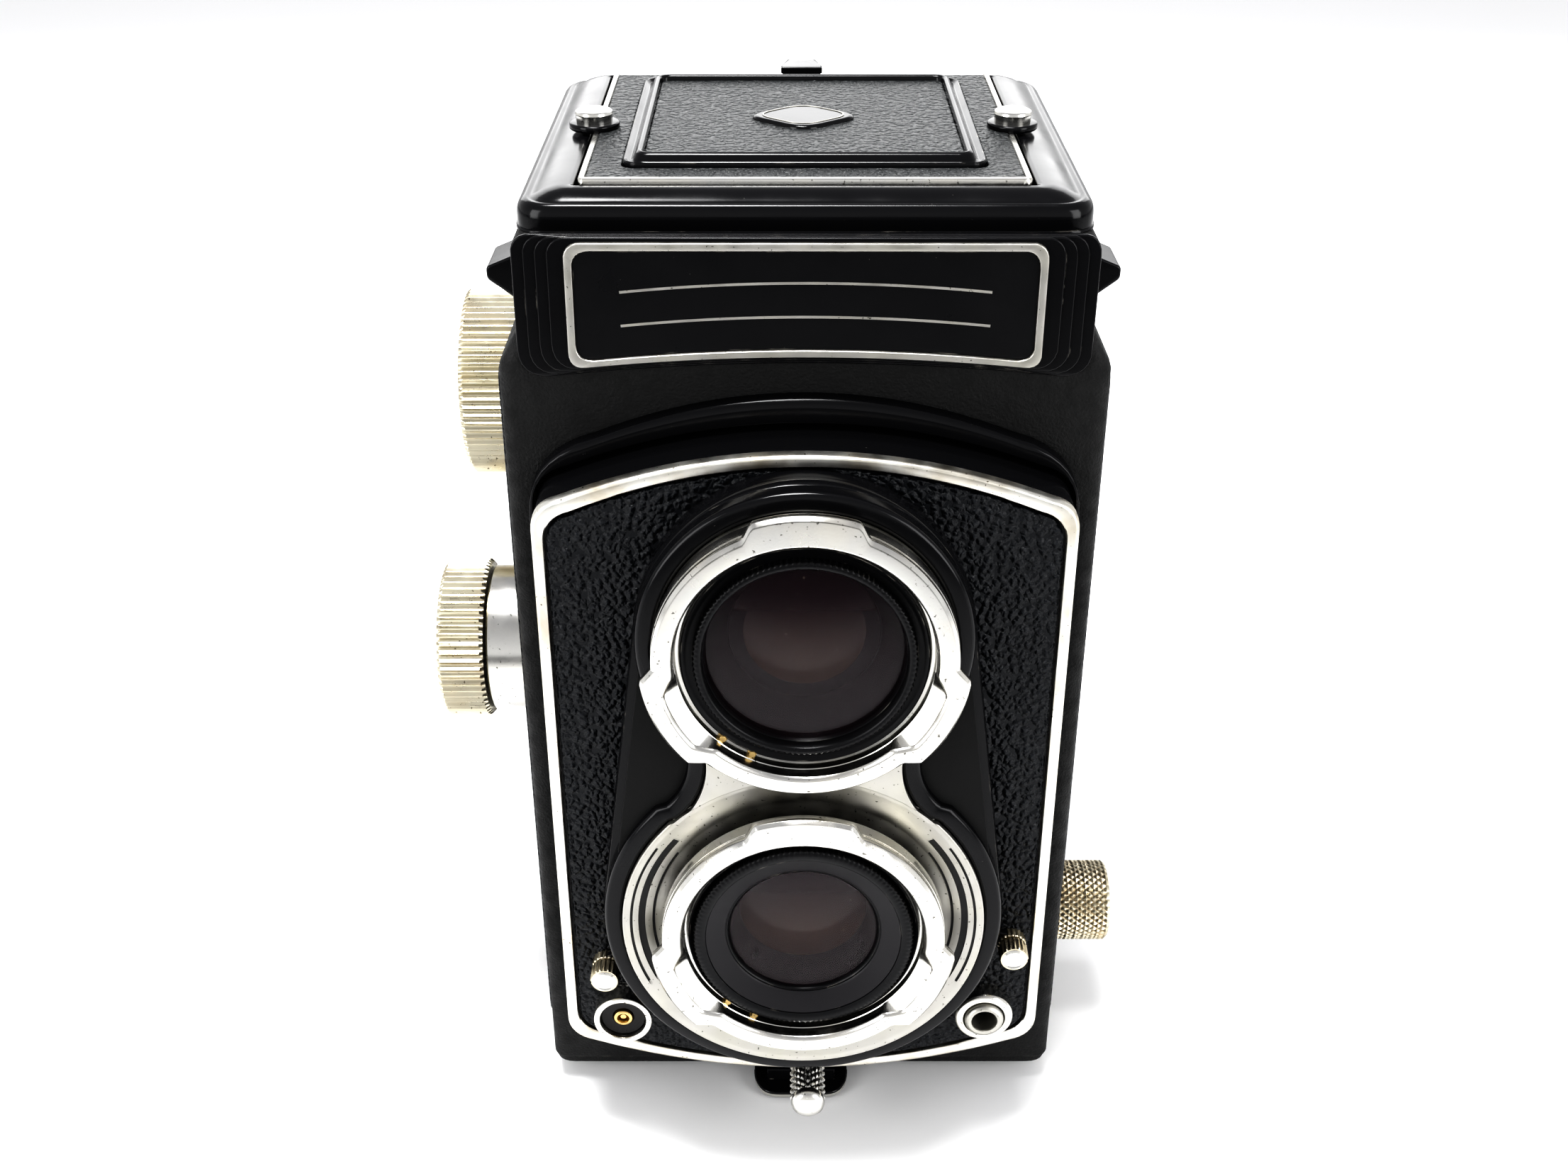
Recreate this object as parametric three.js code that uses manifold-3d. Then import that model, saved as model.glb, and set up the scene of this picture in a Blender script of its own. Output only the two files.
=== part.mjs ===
// Twin lens reflex camera for 120 roll film, 6 x 6 cm, in millimetres, +Z up, lenses facing -Y.
// Working frame: x = 0 is the symmetry plane, y = 0 the body's front, z = 0 the plane of the feet.
import * as THREE from "three";
import { mergeVertices } from "three/addons/utils/BufferGeometryUtils.js";
import Module from "manifold-3d";

const wasm = await Module();
wasm.setup();

// Driving dimensions.
const GAP = 0.3; // between fixed neighbours
const BODY = { half: 36.7, topHalf: 34, back: 73, low: 4, flank: 114.5, neck: 119, top: 129.5, corner: 2 };
const CAVITY = { half: 33.2, front: 5.2, ceiling: 116, floor: 6.5, supplyBack: 31.5 };
const LENS_SPACING = 42;
const TAKING_Z = 42.5;
const VIEWING_Z = TAKING_Z + LENS_SPACING;
const BOARD = { half: 32.7, lowCorner: 17, lowMid: 11.3, topCorner: 100.2, topMid: 106.4, corner: 4 };
const BOARD_FRONT = -8.2;
const SKIRT_END = 2.4;
const RING = { front: -20, back: -16.3, lobe: 19.6, lip: 18, neck: 17.9, inner: 15.5, floor: 13.9 };
const LOBES = [90, 205, 335]; // middles of the bayonet lobes, in degrees from +X
const LOBE_HALF = 22;
const HOUSING = { front: -15.4, step: -11.1, back: -8.5, disc: 26.05, neck: 14.6, top: 20.5, core: 21.5 };
const PLATE = { front: -16, back: -15.7, disc: 24.1, neck: 12.6, top: 18.6 };
const FILM_Y = 66;
const GATE = 56;
const MIRROR_LINE = 52.3; // the mirror's face lies on y = z - MIRROR_LINE
const TAKE_UP = { y: 58, z: 88.7 };
const SUPPLY = { y: 18, z: 19.4 };
const FOCUS_AXIS = { y: 22, z: 64 };
const SPOOL_RADIUS = 12.4;
const DOOR = { front: 73.3, back: 77, low: 2.2, panel: 3.7, top: 118.5, hingeY: 75.2, hingeZ: 121 };
const BUSH = { y: 42, radius: 6.6 };
const LID = { half: 26.85, front: 8, back: 61, low: 132.4, high: 133.7 };
const PANEL = { hinge: 26.3, height: 26, sideZ: 126.4, rearZ: 124.4, rearY: 59.9, thick: 0.8 };
const ROUND = 36; // sides of an ordinary round piece

// Materials, by finish.
const finish = (color, roughness, metalness) =>
  new THREE.MeshStandardMaterial({ color, roughness, metalness });
const GLOSS_BLACK = finish(0x0d0d0f, 0.25, 0.1);
const CRINKLE_BLACK = finish(0x161618, 0.75, 0.1);
const LEATHERETTE = finish(0x1c1e24, 0.85, 0);
const NICKEL = finish(0xc9c6bc, 0.3, 0.95);
const SATIN_NICKEL = finish(0xb9b8b2, 0.5, 0.9);
const WORN_BRASS = finish(0xb59a5e, 0.4, 0.9);
const DARK_METAL = finish(0x3a3a3d, 0.5, 0.7);
const GLASS = finish(0x5a4632, 0.05, 0);
const MIRROR = finish(0xdfe3e6, 0.03, 1);
const GROUND_GLASS = finish(0xd8dcd8, 0.6, 0);

const camera = new THREE.Group();

// A closed geometry as a solid that booleans can work on.
function solid(geometry) {
  const bare = geometry.index ? geometry.toNonIndexed() : geometry.clone();
  bare.deleteAttribute("normal");
  bare.deleteAttribute("uv");
  const merged = mergeVertices(bare, 1e-4);
  const index = [...merged.index.array];
  const triVerts = [];
  for (let i = 0; i < index.length; i += 3) {
    const [a, b, c] = index.slice(i, i + 3);
    if (a !== b && b !== c && a !== c) triVerts.push(a, b, c);
  }
  return new wasm.Manifold(
    new wasm.Mesh({
      numProp: 3,
      vertProperties: merged.attributes.position.array,
      triVerts: new Uint32Array(triVerts),
    }),
  );
}

const join = (first, ...others) => others.reduce((sum, other) => sum.add(other), first);
const cut = (first, ...others) => others.reduce((rest, other) => rest.subtract(other), first);

// Adds a solid to the camera as a named mesh.
function add(name, body, material) {
  const made = body.getMesh();
  const geometry = new THREE.BufferGeometry();
  geometry.setAttribute("position", new THREE.BufferAttribute(Float32Array.from(made.vertProperties), 3));
  geometry.setIndex(new THREE.BufferAttribute(Uint32Array.from(made.triVerts), 1));
  geometry.computeVertexNormals();
  const mesh = new THREE.Mesh(geometry, material);
  mesh.name = name;
  camera.add(mesh);
}

// Boxes, extrusions and turned pieces along each axis.
function box(x0, x1, y0, y1, z0, z1) {
  const geometry = new THREE.BoxGeometry(x1 - x0, y1 - y0, z1 - z0);
  return solid(geometry.translate((x0 + x1) / 2, (y0 + y1) / 2, (z0 + z1) / 2));
}

function extrude(shape, depth, detail) {
  return new THREE.ExtrudeGeometry(shape, { depth, bevelEnabled: false, curveSegments: detail });
}

function alongZ(shape, z0, z1, detail = 6) {
  return solid(extrude(shape, z1 - z0, detail).translate(0, 0, z0));
}

// The shape's x and y become the object's x and z.
function alongY(shape, y0, y1, detail = 6) {
  return solid(extrude(shape, y1 - y0, detail).rotateX(Math.PI / 2).translate(0, y1, 0));
}

// The shape's x and y become the object's y and z.
function alongX(shape, x0, x1, detail = 6) {
  const turn = new THREE.Matrix4().makeBasis(
    new THREE.Vector3(0, 1, 0),
    new THREE.Vector3(0, 0, 1),
    new THREE.Vector3(1, 0, 0),
  );
  return solid(extrude(shape, x1 - x0, detail).applyMatrix4(turn).translate(x0, 0, 0));
}

// A closed profile of [radius, height] points turned about the Y axis through the origin.
function turned(profile, sides = ROUND) {
  const points = profile.map(([r, h]) => new THREE.Vector2(r, h));
  if (THREE.ShapeUtils.area(points) < 0) points.reverse();
  points.push(points[0].clone());
  return new THREE.LatheGeometry(points, sides);
}

const turnedY = (profile, x, z, sides) => solid(turned(profile, sides).translate(x, 0, z));
const turnedX = (profile, y, z, sides) =>
  solid(turned(profile, sides).rotateZ(-Math.PI / 2).translate(0, y, z));
const turnedZ = (profile, x, y, sides) =>
  solid(turned(profile, sides).rotateX(Math.PI / 2).translate(x, y, 0));

const tube = (outer, inner, h0, h1) => [[inner, h0], [outer, h0], [outer, h1], [inner, h1]];
const rod = (radius, h0, h1) => tube(radius, 0, h0, h1);

// Outlines.
function circle(radius, x = 0, y = 0) {
  return new THREE.Shape().absarc(x, y, radius, 0, 2 * Math.PI);
}

function polygon(points) {
  return new THREE.Shape(points.map(([x, y]) => new THREE.Vector2(x, y)));
}

function roundedRectangle(x0, x1, y0, y1, r) {
  const shape = new THREE.Shape();
  shape.moveTo(x0 + r, y0);
  shape.lineTo(x1 - r, y0).quadraticCurveTo(x1, y0, x1, y0 + r);
  shape.lineTo(x1, y1 - r).quadraticCurveTo(x1, y1, x1 - r, y1);
  shape.lineTo(x0 + r, y1).quadraticCurveTo(x0, y1, x0, y1 - r);
  shape.lineTo(x0, y0 + r).quadraticCurveTo(x0, y0, x0 + r, y0);
  return shape;
}

// The lens board's arched outline, grown by a margin on every side.
function boardOutline(margin) {
  const half = BOARD.half + margin;
  const low = BOARD.lowCorner - margin;
  const top = BOARD.topCorner + margin;
  const lowBend = 2 * (BOARD.lowMid - margin) - low;
  const topBend = 2 * (BOARD.topMid + margin) - top;
  const r = BOARD.corner;
  const shape = new THREE.Shape();
  shape.moveTo(-half + r, low - r / 4).quadraticCurveTo(0, lowBend, half - r, low - r / 4);
  shape.quadraticCurveTo(half, low, half, low + r);
  shape.lineTo(half, top - r).quadraticCurveTo(half, top, half - r, top + r / 4);
  shape.quadraticCurveTo(0, topBend, -half + r, top + r / 4);
  shape.quadraticCurveTo(-half, top, -half, top - r);
  shape.lineTo(-half, low + r).quadraticCurveTo(-half, low, -half + r, low - r / 4);
  return shape;
}

// A knob's rim with straight serrations.
function serrated(radius, depth, teeth) {
  const points = [];
  for (let i = 0; i < 2 * teeth; i++) {
    const angle = (i * Math.PI) / teeth;
    const r = i % 2 ? radius - depth : radius;
    points.push([r * Math.cos(angle), r * Math.sin(angle)]);
  }
  return polygon(points);
}

// Two lens discs joined by a straight neck, as one solid along Y.
function lensPairBlock(disc, neck, top, y0, y1) {
  return join(
    alongY(circle(disc, 0, TAKING_Z), y0, y1, 24),
    alongY(circle(top, 0, VIEWING_Z), y0, y1, 20),
    box(-neck, neck, y0, y1, TAKING_Z, VIEWING_Z),
  );
}

function bodyCasting() {
  const front = polygon([
    [-BODY.half, BODY.low],
    [BODY.half, BODY.low],
    [BODY.half, BODY.flank],
    [BODY.topHalf, BODY.neck],
    [BODY.topHalf, BODY.top],
    [-BODY.topHalf, BODY.top],
    [-BODY.topHalf, BODY.neck],
    [-BODY.half, BODY.flank],
  ]);
  const plan = roundedRectangle(-BODY.half, BODY.half, 0, BODY.back, BODY.corner);
  const block = alongY(front, 0, BODY.back).intersect(alongZ(plan, BODY.low, BODY.top));
  const { half, front: inside, ceiling, floor, supplyBack } = CAVITY;
  const beyond = BODY.back + 5;
  const hollow = cut(
    block,
    box(-half, half, supplyBack, beyond, floor, ceiling),
    box(-half, half, inside, supplyBack + 1, -1, ceiling),
    alongY(boardOutline(0.5), -1, 3),
    alongY(circle(14.6, 0, TAKING_Z), 2, inside + 1, 16),
    alongY(circle(16, 0, VIEWING_Z), 2, inside + 1, 16),
    box(-27.3, 27.3, inside, 59.4, ceiling - 1, BODY.top + 1),
    box(-28.6, 28.6, 4.5, 60.5, 118.3, BODY.top + 1),
    turnedX(rod(3.2, -BODY.half - 1, -half + 1), TAKE_UP.y, TAKE_UP.z, 20),
    turnedX(rod(3.4, -BODY.half - 1, -half + 1), FOCUS_AXIS.y, FOCUS_AXIS.z, 20),
    turnedX(rod(3.2, half - 1, BODY.half + 1), SUPPLY.y, SUPPLY.z, 20),
  );
  const supplyPivot = turnedX(rod(2.6, -half - 0.5, -30), SUPPLY.y, SUPPLY.z, 16);
  add("body_casting", join(hollow, supplyPivot), CRINKLE_BLACK);
  const bezel = cut(alongY(boardOutline(2), -1.5, -GAP, 8), alongY(boardOutline(0.6), -2, 0, 8));
  add("front_bezel", bezel, GLOSS_BLACK);
  const trap = cut(alongY(boardOutline(-1.4), -5, 2.7, 8), alongY(boardOutline(-2.3), -6, 3, 8));
  add("light_trap", trap, DARK_METAL);
}

function sideLeathers() {
  const sheet = roundedRectangle(5, 70, 8, 112, 2);
  const left = cut(
    alongX(sheet, -BODY.half - 0.8, -BODY.half - GAP),
    turnedX(rod(10.7, -40, -30), TAKE_UP.y, TAKE_UP.z),
    turnedX(rod(11.3, -40, -30), FOCUS_AXIS.y, FOCUS_AXIS.z),
  );
  const right = cut(
    alongX(sheet, BODY.half + GAP, BODY.half + 0.8),
    turnedX(rod(6.7, 30, 40), SUPPLY.y, SUPPLY.z),
  );
  add("left_side_leather", left, LEATHERETTE);
  add("right_side_leather", right, LEATHERETTE);
}

function namePlate() {
  const block = new THREE.Shape();
  block.moveTo(-34, 130.7).lineTo(-34, 113.1).quadraticCurveTo(0, 116.7, 34, 113.1).lineTo(34, 130.7);
  add("name_plate_block", alongY(block, -1.3, -GAP, 10), GLOSS_BLACK);
  const plate = new THREE.Shape();
  plate.moveTo(-25.8, 129.9).quadraticCurveTo(-27.8, 129.9, -27.8, 127.9);
  plate.lineTo(-27.8, 116.6).quadraticCurveTo(-27.8, 114.7, -25.8, 114.8);
  plate.quadraticCurveTo(0, 117.3, 25.8, 114.8).quadraticCurveTo(27.8, 114.7, 27.8, 116.6);
  plate.lineTo(27.8, 127.9).quadraticCurveTo(27.8, 129.9, 25.8, 129.9);
  add("name_plate", alongY(plate, -2.2, -1.6, 8), NICKEL);
}

// A slab parallel to the 45 degree mirror: t runs up along it, d is the distance behind its face.
function mirrorSlab(half, t0, t1, d0, d1) {
  const step = Math.SQRT1_2;
  const low = { y: 5.5, z: 5.5 + MIRROR_LINE };
  const corner = (t, d) => [low.y + (t + d) * step, low.z + (t - d) * step];
  return alongX(polygon([corner(t0, d0), corner(t0, d1), corner(t1, d1), corner(t1, d0)]), -half, half);
}

function reflexFinder() {
  add("mirror", mirrorSlab(29, 8, 74, 0, 1.2), MIRROR);
  add("mirror_plate", mirrorSlab(32.9, 0.5, 80, 1.5, 2.3), DARK_METAL);
  add("focusing_screen", box(-28.2, 28.2, 4.9, 60.1, 118.6, 120.1), GROUND_GLASS);
}

// A hollow square funnel along Y, from half width a at y0 to half width b at y1.
function squareCone(a, b, y0, y1) {
  const geometry = new THREE.CylinderGeometry(b * Math.SQRT2, a * Math.SQRT2, y1 - y0, 4);
  return solid(geometry.rotateY(Math.PI / 4).translate(0, (y0 + y1) / 2, TAKING_Z));
}

function filmChamber() {
  const half = GATE / 2;
  const plateBack = FILM_Y - 0.4;
  const gate = cut(
    join(
      box(-32.8, 32.8, plateBack - 2, plateBack, TAKING_Z - 30, TAKING_Z + 30.5),
      squareCone(10.5, 30, 20, plateBack - 1),
      squareCone(10.5, 10.5, 5.5, 20.1),
    ),
    squareCone(9.5, 28.6, 20, plateBack - 1),
    squareCone(9.5, 9.5, 5, 20.2),
    box(-half, half, plateBack - 3, plateBack + 1, TAKING_Z - half, TAKING_Z + half),
  );
  add("film_gate", gate, DARK_METAL);
  for (const [name, z, end] of [["film_roller_lower", 9.7, 31], ["film_roller_upper", 75.5, 28.5]]) {
    const half = [[0, -32.8], [1, -32.8], [1, -end], [2.1, -end]];
    const profile = [...half, ...half.map(([r, x]) => [r, -x]).reverse()];
    add(name, turnedX(profile, FILM_Y - 2.4, z, 16), NICKEL);
  }
}

function tripodBush() {
  add("tripod_bush", turnedZ(tube(BUSH.radius, 3.2, 1.2, BODY.low - GAP), 0, BUSH.y, 24), NICKEL);
}

function strapLugs() {
  for (const [name, side] of [["strap_lug_left", -1], ["strap_lug_right", 1]]) {
    const wedge = [[36.6, 115.4], [40.6, 117.8], [40.6, 119.4], [34.4, 122.2], [34.4, 119.4]];
    const points = wedge.map(([x, z]) => [side * x, z]);
    if (side < 0) points.reverse();
    add(name, alongY(polygon(points), 21, 29), GLOSS_BLACK);
  }
}

function hoodFrame() {
  const slope = { bevelSize: 4, bevelThickness: 2.2, bevelSegments: 2, depth: 2.2, curveSegments: 4 };
  const outline = roundedRectangle(-30, 30, 7, 60.5, 1.5);
  const block = solid(new THREE.ExtrudeGeometry(outline, slope).translate(0, 0, 129.8));
  const frame = cut(block, box(-50, 50, -10, 90, 120, 129.8), box(-27.15, 27.15, 7.7, 61.4, 120, 140));
  add("hood_frame", frame, GLOSS_BLACK);
}

function lensBoard() {
  const viewingHole = circle(15.9, 0, VIEWING_Z);
  const takingHole = circle(HOUSING.core + GAP, 0, TAKING_Z);
  const board = cut(
    alongY(boardOutline(0), BOARD_FRONT, SKIRT_END, 8),
    alongY(boardOutline(-0.9), BOARD_FRONT + 1.3, SKIRT_END + 1, 8),
    alongY(viewingHole, BOARD_FRONT - 1, 0, 16),
    alongY(takingHole, BOARD_FRONT - 1, 0, 16),
  );
  add("lens_board", board, GLOSS_BLACK);
  const clear = lensPairBlock(HOUSING.core + GAP, 12.3, 18.3, -10, -8);
  add("board_leather", cut(alongY(boardOutline(-1.8), -9, -8.5, 8), clear), LEATHERETTE);
}

// The bayonet ring round each lens: three lobes on a thin lip, and a cup behind it.
function bayonetRing(name, z) {
  const points = [];
  const steps = 72;
  for (let i = 0; i < steps; i++) {
    const angle = (360 * i) / steps;
    const onLobe = LOBES.some((centre) => Math.abs(angle - centre) < LOBE_HALF);
    const radius = onLobe ? RING.lobe : RING.lip;
    const turn = THREE.MathUtils.degToRad(angle);
    points.push([radius * Math.cos(turn), z + radius * Math.sin(turn)]);
  }
  const cup = turnedY(tube(RING.neck, RING.floor, RING.front + 1, RING.back), 0, z, 48);
  const ring = cut(
    join(alongY(polygon(points), RING.front, RING.front + 1.6), cup),
    turnedY(rod(RING.inner, RING.front - 1, RING.back - 0.8), 0, z, 48),
  );
  add(name, ring, NICKEL);
}

function viewingLens() {
  add("viewing_lens_barrel", turnedY(tube(15.5, 14.1, -16, 2.4), 0, VIEWING_Z), DARK_METAL);
  bayonetRing("viewing_bayonet_ring", VIEWING_Z);
  add("viewing_retaining_ring", turnedY(tube(13.2, 11.9, -18.6, -17.3), 0, VIEWING_Z), NICKEL);
  const glass = [[0, -18.4], [6, -18.05], [11.8, -16.9], [13.3, -16.6], [13.3, -13], [0, -13]];
  add("viewing_front_element", turnedY(glass, 0, VIEWING_Z), GLASS);
}

function takingLens() {
  add("taking_lens_barrel", turnedY(tube(13.6, 11.8, -15.9, 3.5), 0, TAKING_Z), DARK_METAL);
  bayonetRing("taking_bayonet_ring", TAKING_Z);
  const cone = [[9.2, -17.4], [15.1, -17.4], [15.1, -19.2], [14.3, -19.2], [9.2, -17.9]];
  add("taking_name_ring", turnedY(cone, 0, TAKING_Z), DARK_METAL);
  const front = [[0, -17.6], [5, -17.3], [9, -16.5], [11.5, -16.2], [11.5, -13.5], [0, -13]];
  add("taking_front_element", turnedY(front, 0, TAKING_Z), GLASS);
  add("shutter_blades", turnedY(rod(11.4, -11.5, -11), 0, TAKING_Z), DARK_METAL);
  add("aperture_iris", turnedY(tube(11.4, 6, -9.9, -9.4), 0, TAKING_Z), DARK_METAL);
  const rear = [[0, -3.4], [11.4, -2.6], [11.4, -0.4], [0, 0.4]];
  add("taking_rear_element", turnedY(rear, 0, TAKING_Z), GLASS);
}

function shutter() {
  const { front, step, back, disc, neck, top, core } = HOUSING;
  const housing = cut(
    join(lensPairBlock(disc, neck, top, front, step), lensPairBlock(core, 12, 18, step - 0.1, back)),
    alongY(circle(13.9, 0, TAKING_Z), front - 1, back + 1, 18),
    alongY(circle(15.9, 0, VIEWING_Z), front - 1, back + 1, 18),
  );
  add("shutter_housing", housing, GLOSS_BLACK);
  const plate = cut(
    lensPairBlock(PLATE.disc, PLATE.neck, PLATE.top, PLATE.front, PLATE.back),
    alongY(circle(13.9, 0, TAKING_Z), -17, -15, 18),
    alongY(circle(15.9, 0, VIEWING_Z), -17, -15, 18),
  );
  add("shutter_face_plate", plate, SATIN_NICKEL);
}

function sockets() {
  const sync = [[0, -9.3], [4, -9.3], [4, -12.3], [3, -12.3], [3, -10], [0.9, -10], [0.9, -11.6], [0, -11.6]];
  add("sync_socket", turnedY(sync, -24.7, 22.7, 24), NICKEL);
  const cable = [[1.6, -9.8], [0, -9.8], [0, -9.3], [4, -9.3], [4, -11], [3, -11], [3, -12.5], [1.6, -12.5]];
  add("cable_release_socket", turnedY(cable, 25.1, 22.7, 24), NICKEL);
}

// A lever that turns about the taking lens: an arm behind the housing's rim and a knob along Y.
function shutterLever(name, angle, reach, knobRadius, knobFront, material) {
  const arm = box(22, reach, -10.7, -9.5, -1.5, 1.5);
  const knob = turnedY(rod(knobRadius, knobFront, -9.5), reach, 0, 20);
  const lever = join(arm, knob)
    .rotate([0, -angle, 0])
    .translate([0, 0, TAKING_Z]);
  add(name, lever, material);
}

function focusDrive() {
  const turn = (body) => body.translate([0, FOCUS_AXIS.y, FOCUS_AXIS.z]);
  add("focus_knob", turn(alongX(serrated(11.2, 0.5, 48), -50.3, -43.9)), WORN_BRASS);
  const shaft = [[2.8, -37.7], [2.8, -27], [4.4, -27], [4.4, -25], [0, -25]];
  const collar = [[0, -43.6], [10.4, -43.6], [10.4, -37.7], ...shaft];
  add("focus_collar_shaft", turnedX(collar, FOCUS_AXIS.y, FOCUS_AXIS.z), NICKEL);
}

function windDrive() {
  const turn = (body) => body.translate([0, TAKE_UP.y, TAKE_UP.z]);
  add("wind_knob", turn(alongX(serrated(14.3, 0.6, 54), -50.3, -41)), WORN_BRASS);
  const shaft = [[0, -40.7], [10, -40.7], [10, -37.7], [2.6, -37.7], [2.6, -33], [0, -33]];
  add("wind_collar_shaft", turnedX(shaft, TAKE_UP.y, TAKE_UP.z), NICKEL);
  const r = SPOOL_RADIUS;
  const half = [[0, -32.4], [r, -32.4], [r, -31.5], [5.75, -31.5]];
  const spool = [...half, ...half.map(([radius, x]) => [radius, -x]).reverse()];
  add("take_up_spool", turnedX(spool, TAKE_UP.y, TAKE_UP.z, 30), GLOSS_BLACK);
}

function spoolKnob() {
  const profile = [[0, 30], [2.6, 30], [2.6, 37.9], [6, 37.9], [6, 46], [5.4, 46.6], [0, 46.6]];
  add("spool_knob", turnedX(profile, SUPPLY.y, SUPPLY.z, 30), NICKEL);
}

function backDoor() {
  const { front, back, low, panel, top, hingeY, hingeZ } = DOOR;
  const corners = [[-30, 8], [30, 8], [-30, 69], [30, 69]];
  const feet = corners.map(([x, y]) => turnedZ(rod(2.8, 0, low + 0.1), x, y, 18));
  const door = cut(
    join(
      box(-BODY.half, BODY.half, front, back, low, top),
      alongZ(roundedRectangle(-BODY.half, BODY.half, 1, back, 2), low, panel),
      box(-22, 22, front + 0.1, back, top - 0.1, hingeZ),
      turnedX(rod(1.7, -22, 22), hingeY, hingeZ, 18),
      ...feet,
    ),
    turnedZ(rod(BUSH.radius + 0.7, 1, 5), 0, BUSH.y, 24),
  );
  add("back_door", door, CRINKLE_BLACK);
  const leather = roundedRectangle(-33, 33, 8, 114, 3);
  add("door_leather", alongY(leather, back + GAP, back + 0.8, 4), LEATHERETTE);
  const places = [[-24, 20], [24, 20], [-24, 65], [24, 65]];
  const posts = places.map(([x, z]) => turnedY(rod(1.5, 68, 73), x, z, 12));
  add("pressure_plate", join(box(-30.5, 30.5, 67.2, 68.7, 13, 72), ...posts), DARK_METAL);
  for (const [name, x0] of [["hinge_bracket_left", -27], ["hinge_bracket_right", 22.4]]) {
    const knuckle = turnedX(rod(1.7, x0, x0 + 4.6), hingeY, hingeZ, 18);
    add(name, join(knuckle, box(x0, x0 + 4.6, BODY.back + GAP, hingeY, hingeZ, hingeZ + 1.7)), GLOSS_BLACK);
  }
  const latch = join(
    alongZ(roundedRectangle(-6.9, 6.9, -4.5, 7.4, 1.5), 0.4, 1.5),
    box(-5, 5, -1.7, -0.7, 1.4, 3.4),
  );
  add("door_latch", latch, GLOSS_BLACK);
}

function finderHood() {
  const { half, front, back, low, high } = LID;
  const lid = join(
    box(-half, half, front, back, low, high),
    box(-2.85, 2.85, back - 1.1, back, high - 0.1, 135.6),
    alongZ(polygon([[-2.85, back - 1.1], [2.85, back - 1.1], [1.85, 65], [-1.85, 65]]), 134.7, 135.6),
  );
  add("hood_lid", lid, GLOSS_BLACK);
  const leather = roundedRectangle(-25.2, 25.2, front + 1.6, back - 1.5, 0.5);
  add("lid_leather", alongZ(leather, high + GAP, high + 0.8, 2), LEATHERETTE);
  const flapOuter = roundedRectangle(-22, 22, 13.4, 57, 1.5);
  const flapInner = roundedRectangle(-20, 20, 15.4, 55, 1);
  const flap = cut(alongZ(flapOuter, 134.8, 135.9, 4), alongZ(flapInner, 134, 137, 4));
  add("finder_flap_frame", flap, GLOSS_BLACK);
  add("finder_flap_leather", box(-19.7, 19.7, 15.7, 54.7, 134.8, 135.4), LEATHERETTE);
  for (const [name, x] of [["hood_stud_left", -26.9], ["hood_stud_right", 26.9]]) {
    const profile = [[0, 134.9], [3.25, 134.9], [3.25, 135.4], [2.4, 135.4], [2.4, 136.7], [0, 136.7]];
    add(name, turnedZ(profile, x, 32, 24), NICKEL);
  }
  add("magnifier_frame", turnedZ(tube(12.5, 11.2, 129, 132.1), 0, 35, 30), DARK_METAL);
  const lens = [[0, 128.6], [8, 129.2], [10.9, 130], [10.9, 130.8], [8, 131.4], [0, 131.9]];
  add("magnifier_lens", turnedZ(lens, 0, 35, 30), GLASS);
}

// Folded hood panels: the two sides with a 45 degree front edge, the rear one with mitred ends.
function hoodPanels() {
  const { hinge, height, sideZ, rearZ, rearY, thick } = PANEL;
  const start = LID.front + 2;
  for (const [name, side] of [["hood_side_left", -1], ["hood_side_right", 1]]) {
    const edge = [[hinge, start], [hinge - height, start + height], [hinge - height, 59], [hinge, 59]];
    const points = edge.map(([x, y]) => [side * x, y]);
    if (side < 0) points.reverse();
    add(name, alongZ(polygon(points), sideZ - thick / 2, sideZ + thick / 2), CRINKLE_BLACK);
  }
  const wide = hinge - 0.7;
  const deep = height - 2;
  const rear = polygon([
    [-wide, rearY],
    [-wide + deep, rearY - deep],
    [wide - deep, rearY - deep],
    [wide, rearY],
  ]);
  add("hood_rear", alongZ(rear, rearZ - thick / 2, rearZ + thick / 2), CRINKLE_BLACK);
}

bodyCasting();
sideLeathers();
namePlate();
reflexFinder();
filmChamber();
tripodBush();
strapLugs();
hoodFrame();
lensBoard();
viewingLens();
takingLens();
shutter();
sockets();
shutterLever("aperture_lever", 203.1, 29.03, 1.95, -14, NICKEL);
shutterLever("speed_lever", -15, 29.3, 1.95, -14, NICKEL);
shutterLever("cocking_lever", -88.5, 31.5, 2.48, -17, NICKEL);
focusDrive();
windDrive();
spoolKnob();
backDoor();
finderHood();
hoodPanels();

// The exported frame: the origin at the bottom centre of the whole camera's box.
const bounds = new THREE.Box3().setFromObject(camera);
const centre = bounds.getCenter(new THREE.Vector3());
camera.position.set(-centre.x, -centre.y, -bounds.min.z);

export default camera;
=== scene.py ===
"""Twin lens reflex camera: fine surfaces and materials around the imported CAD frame."""
import math

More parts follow.
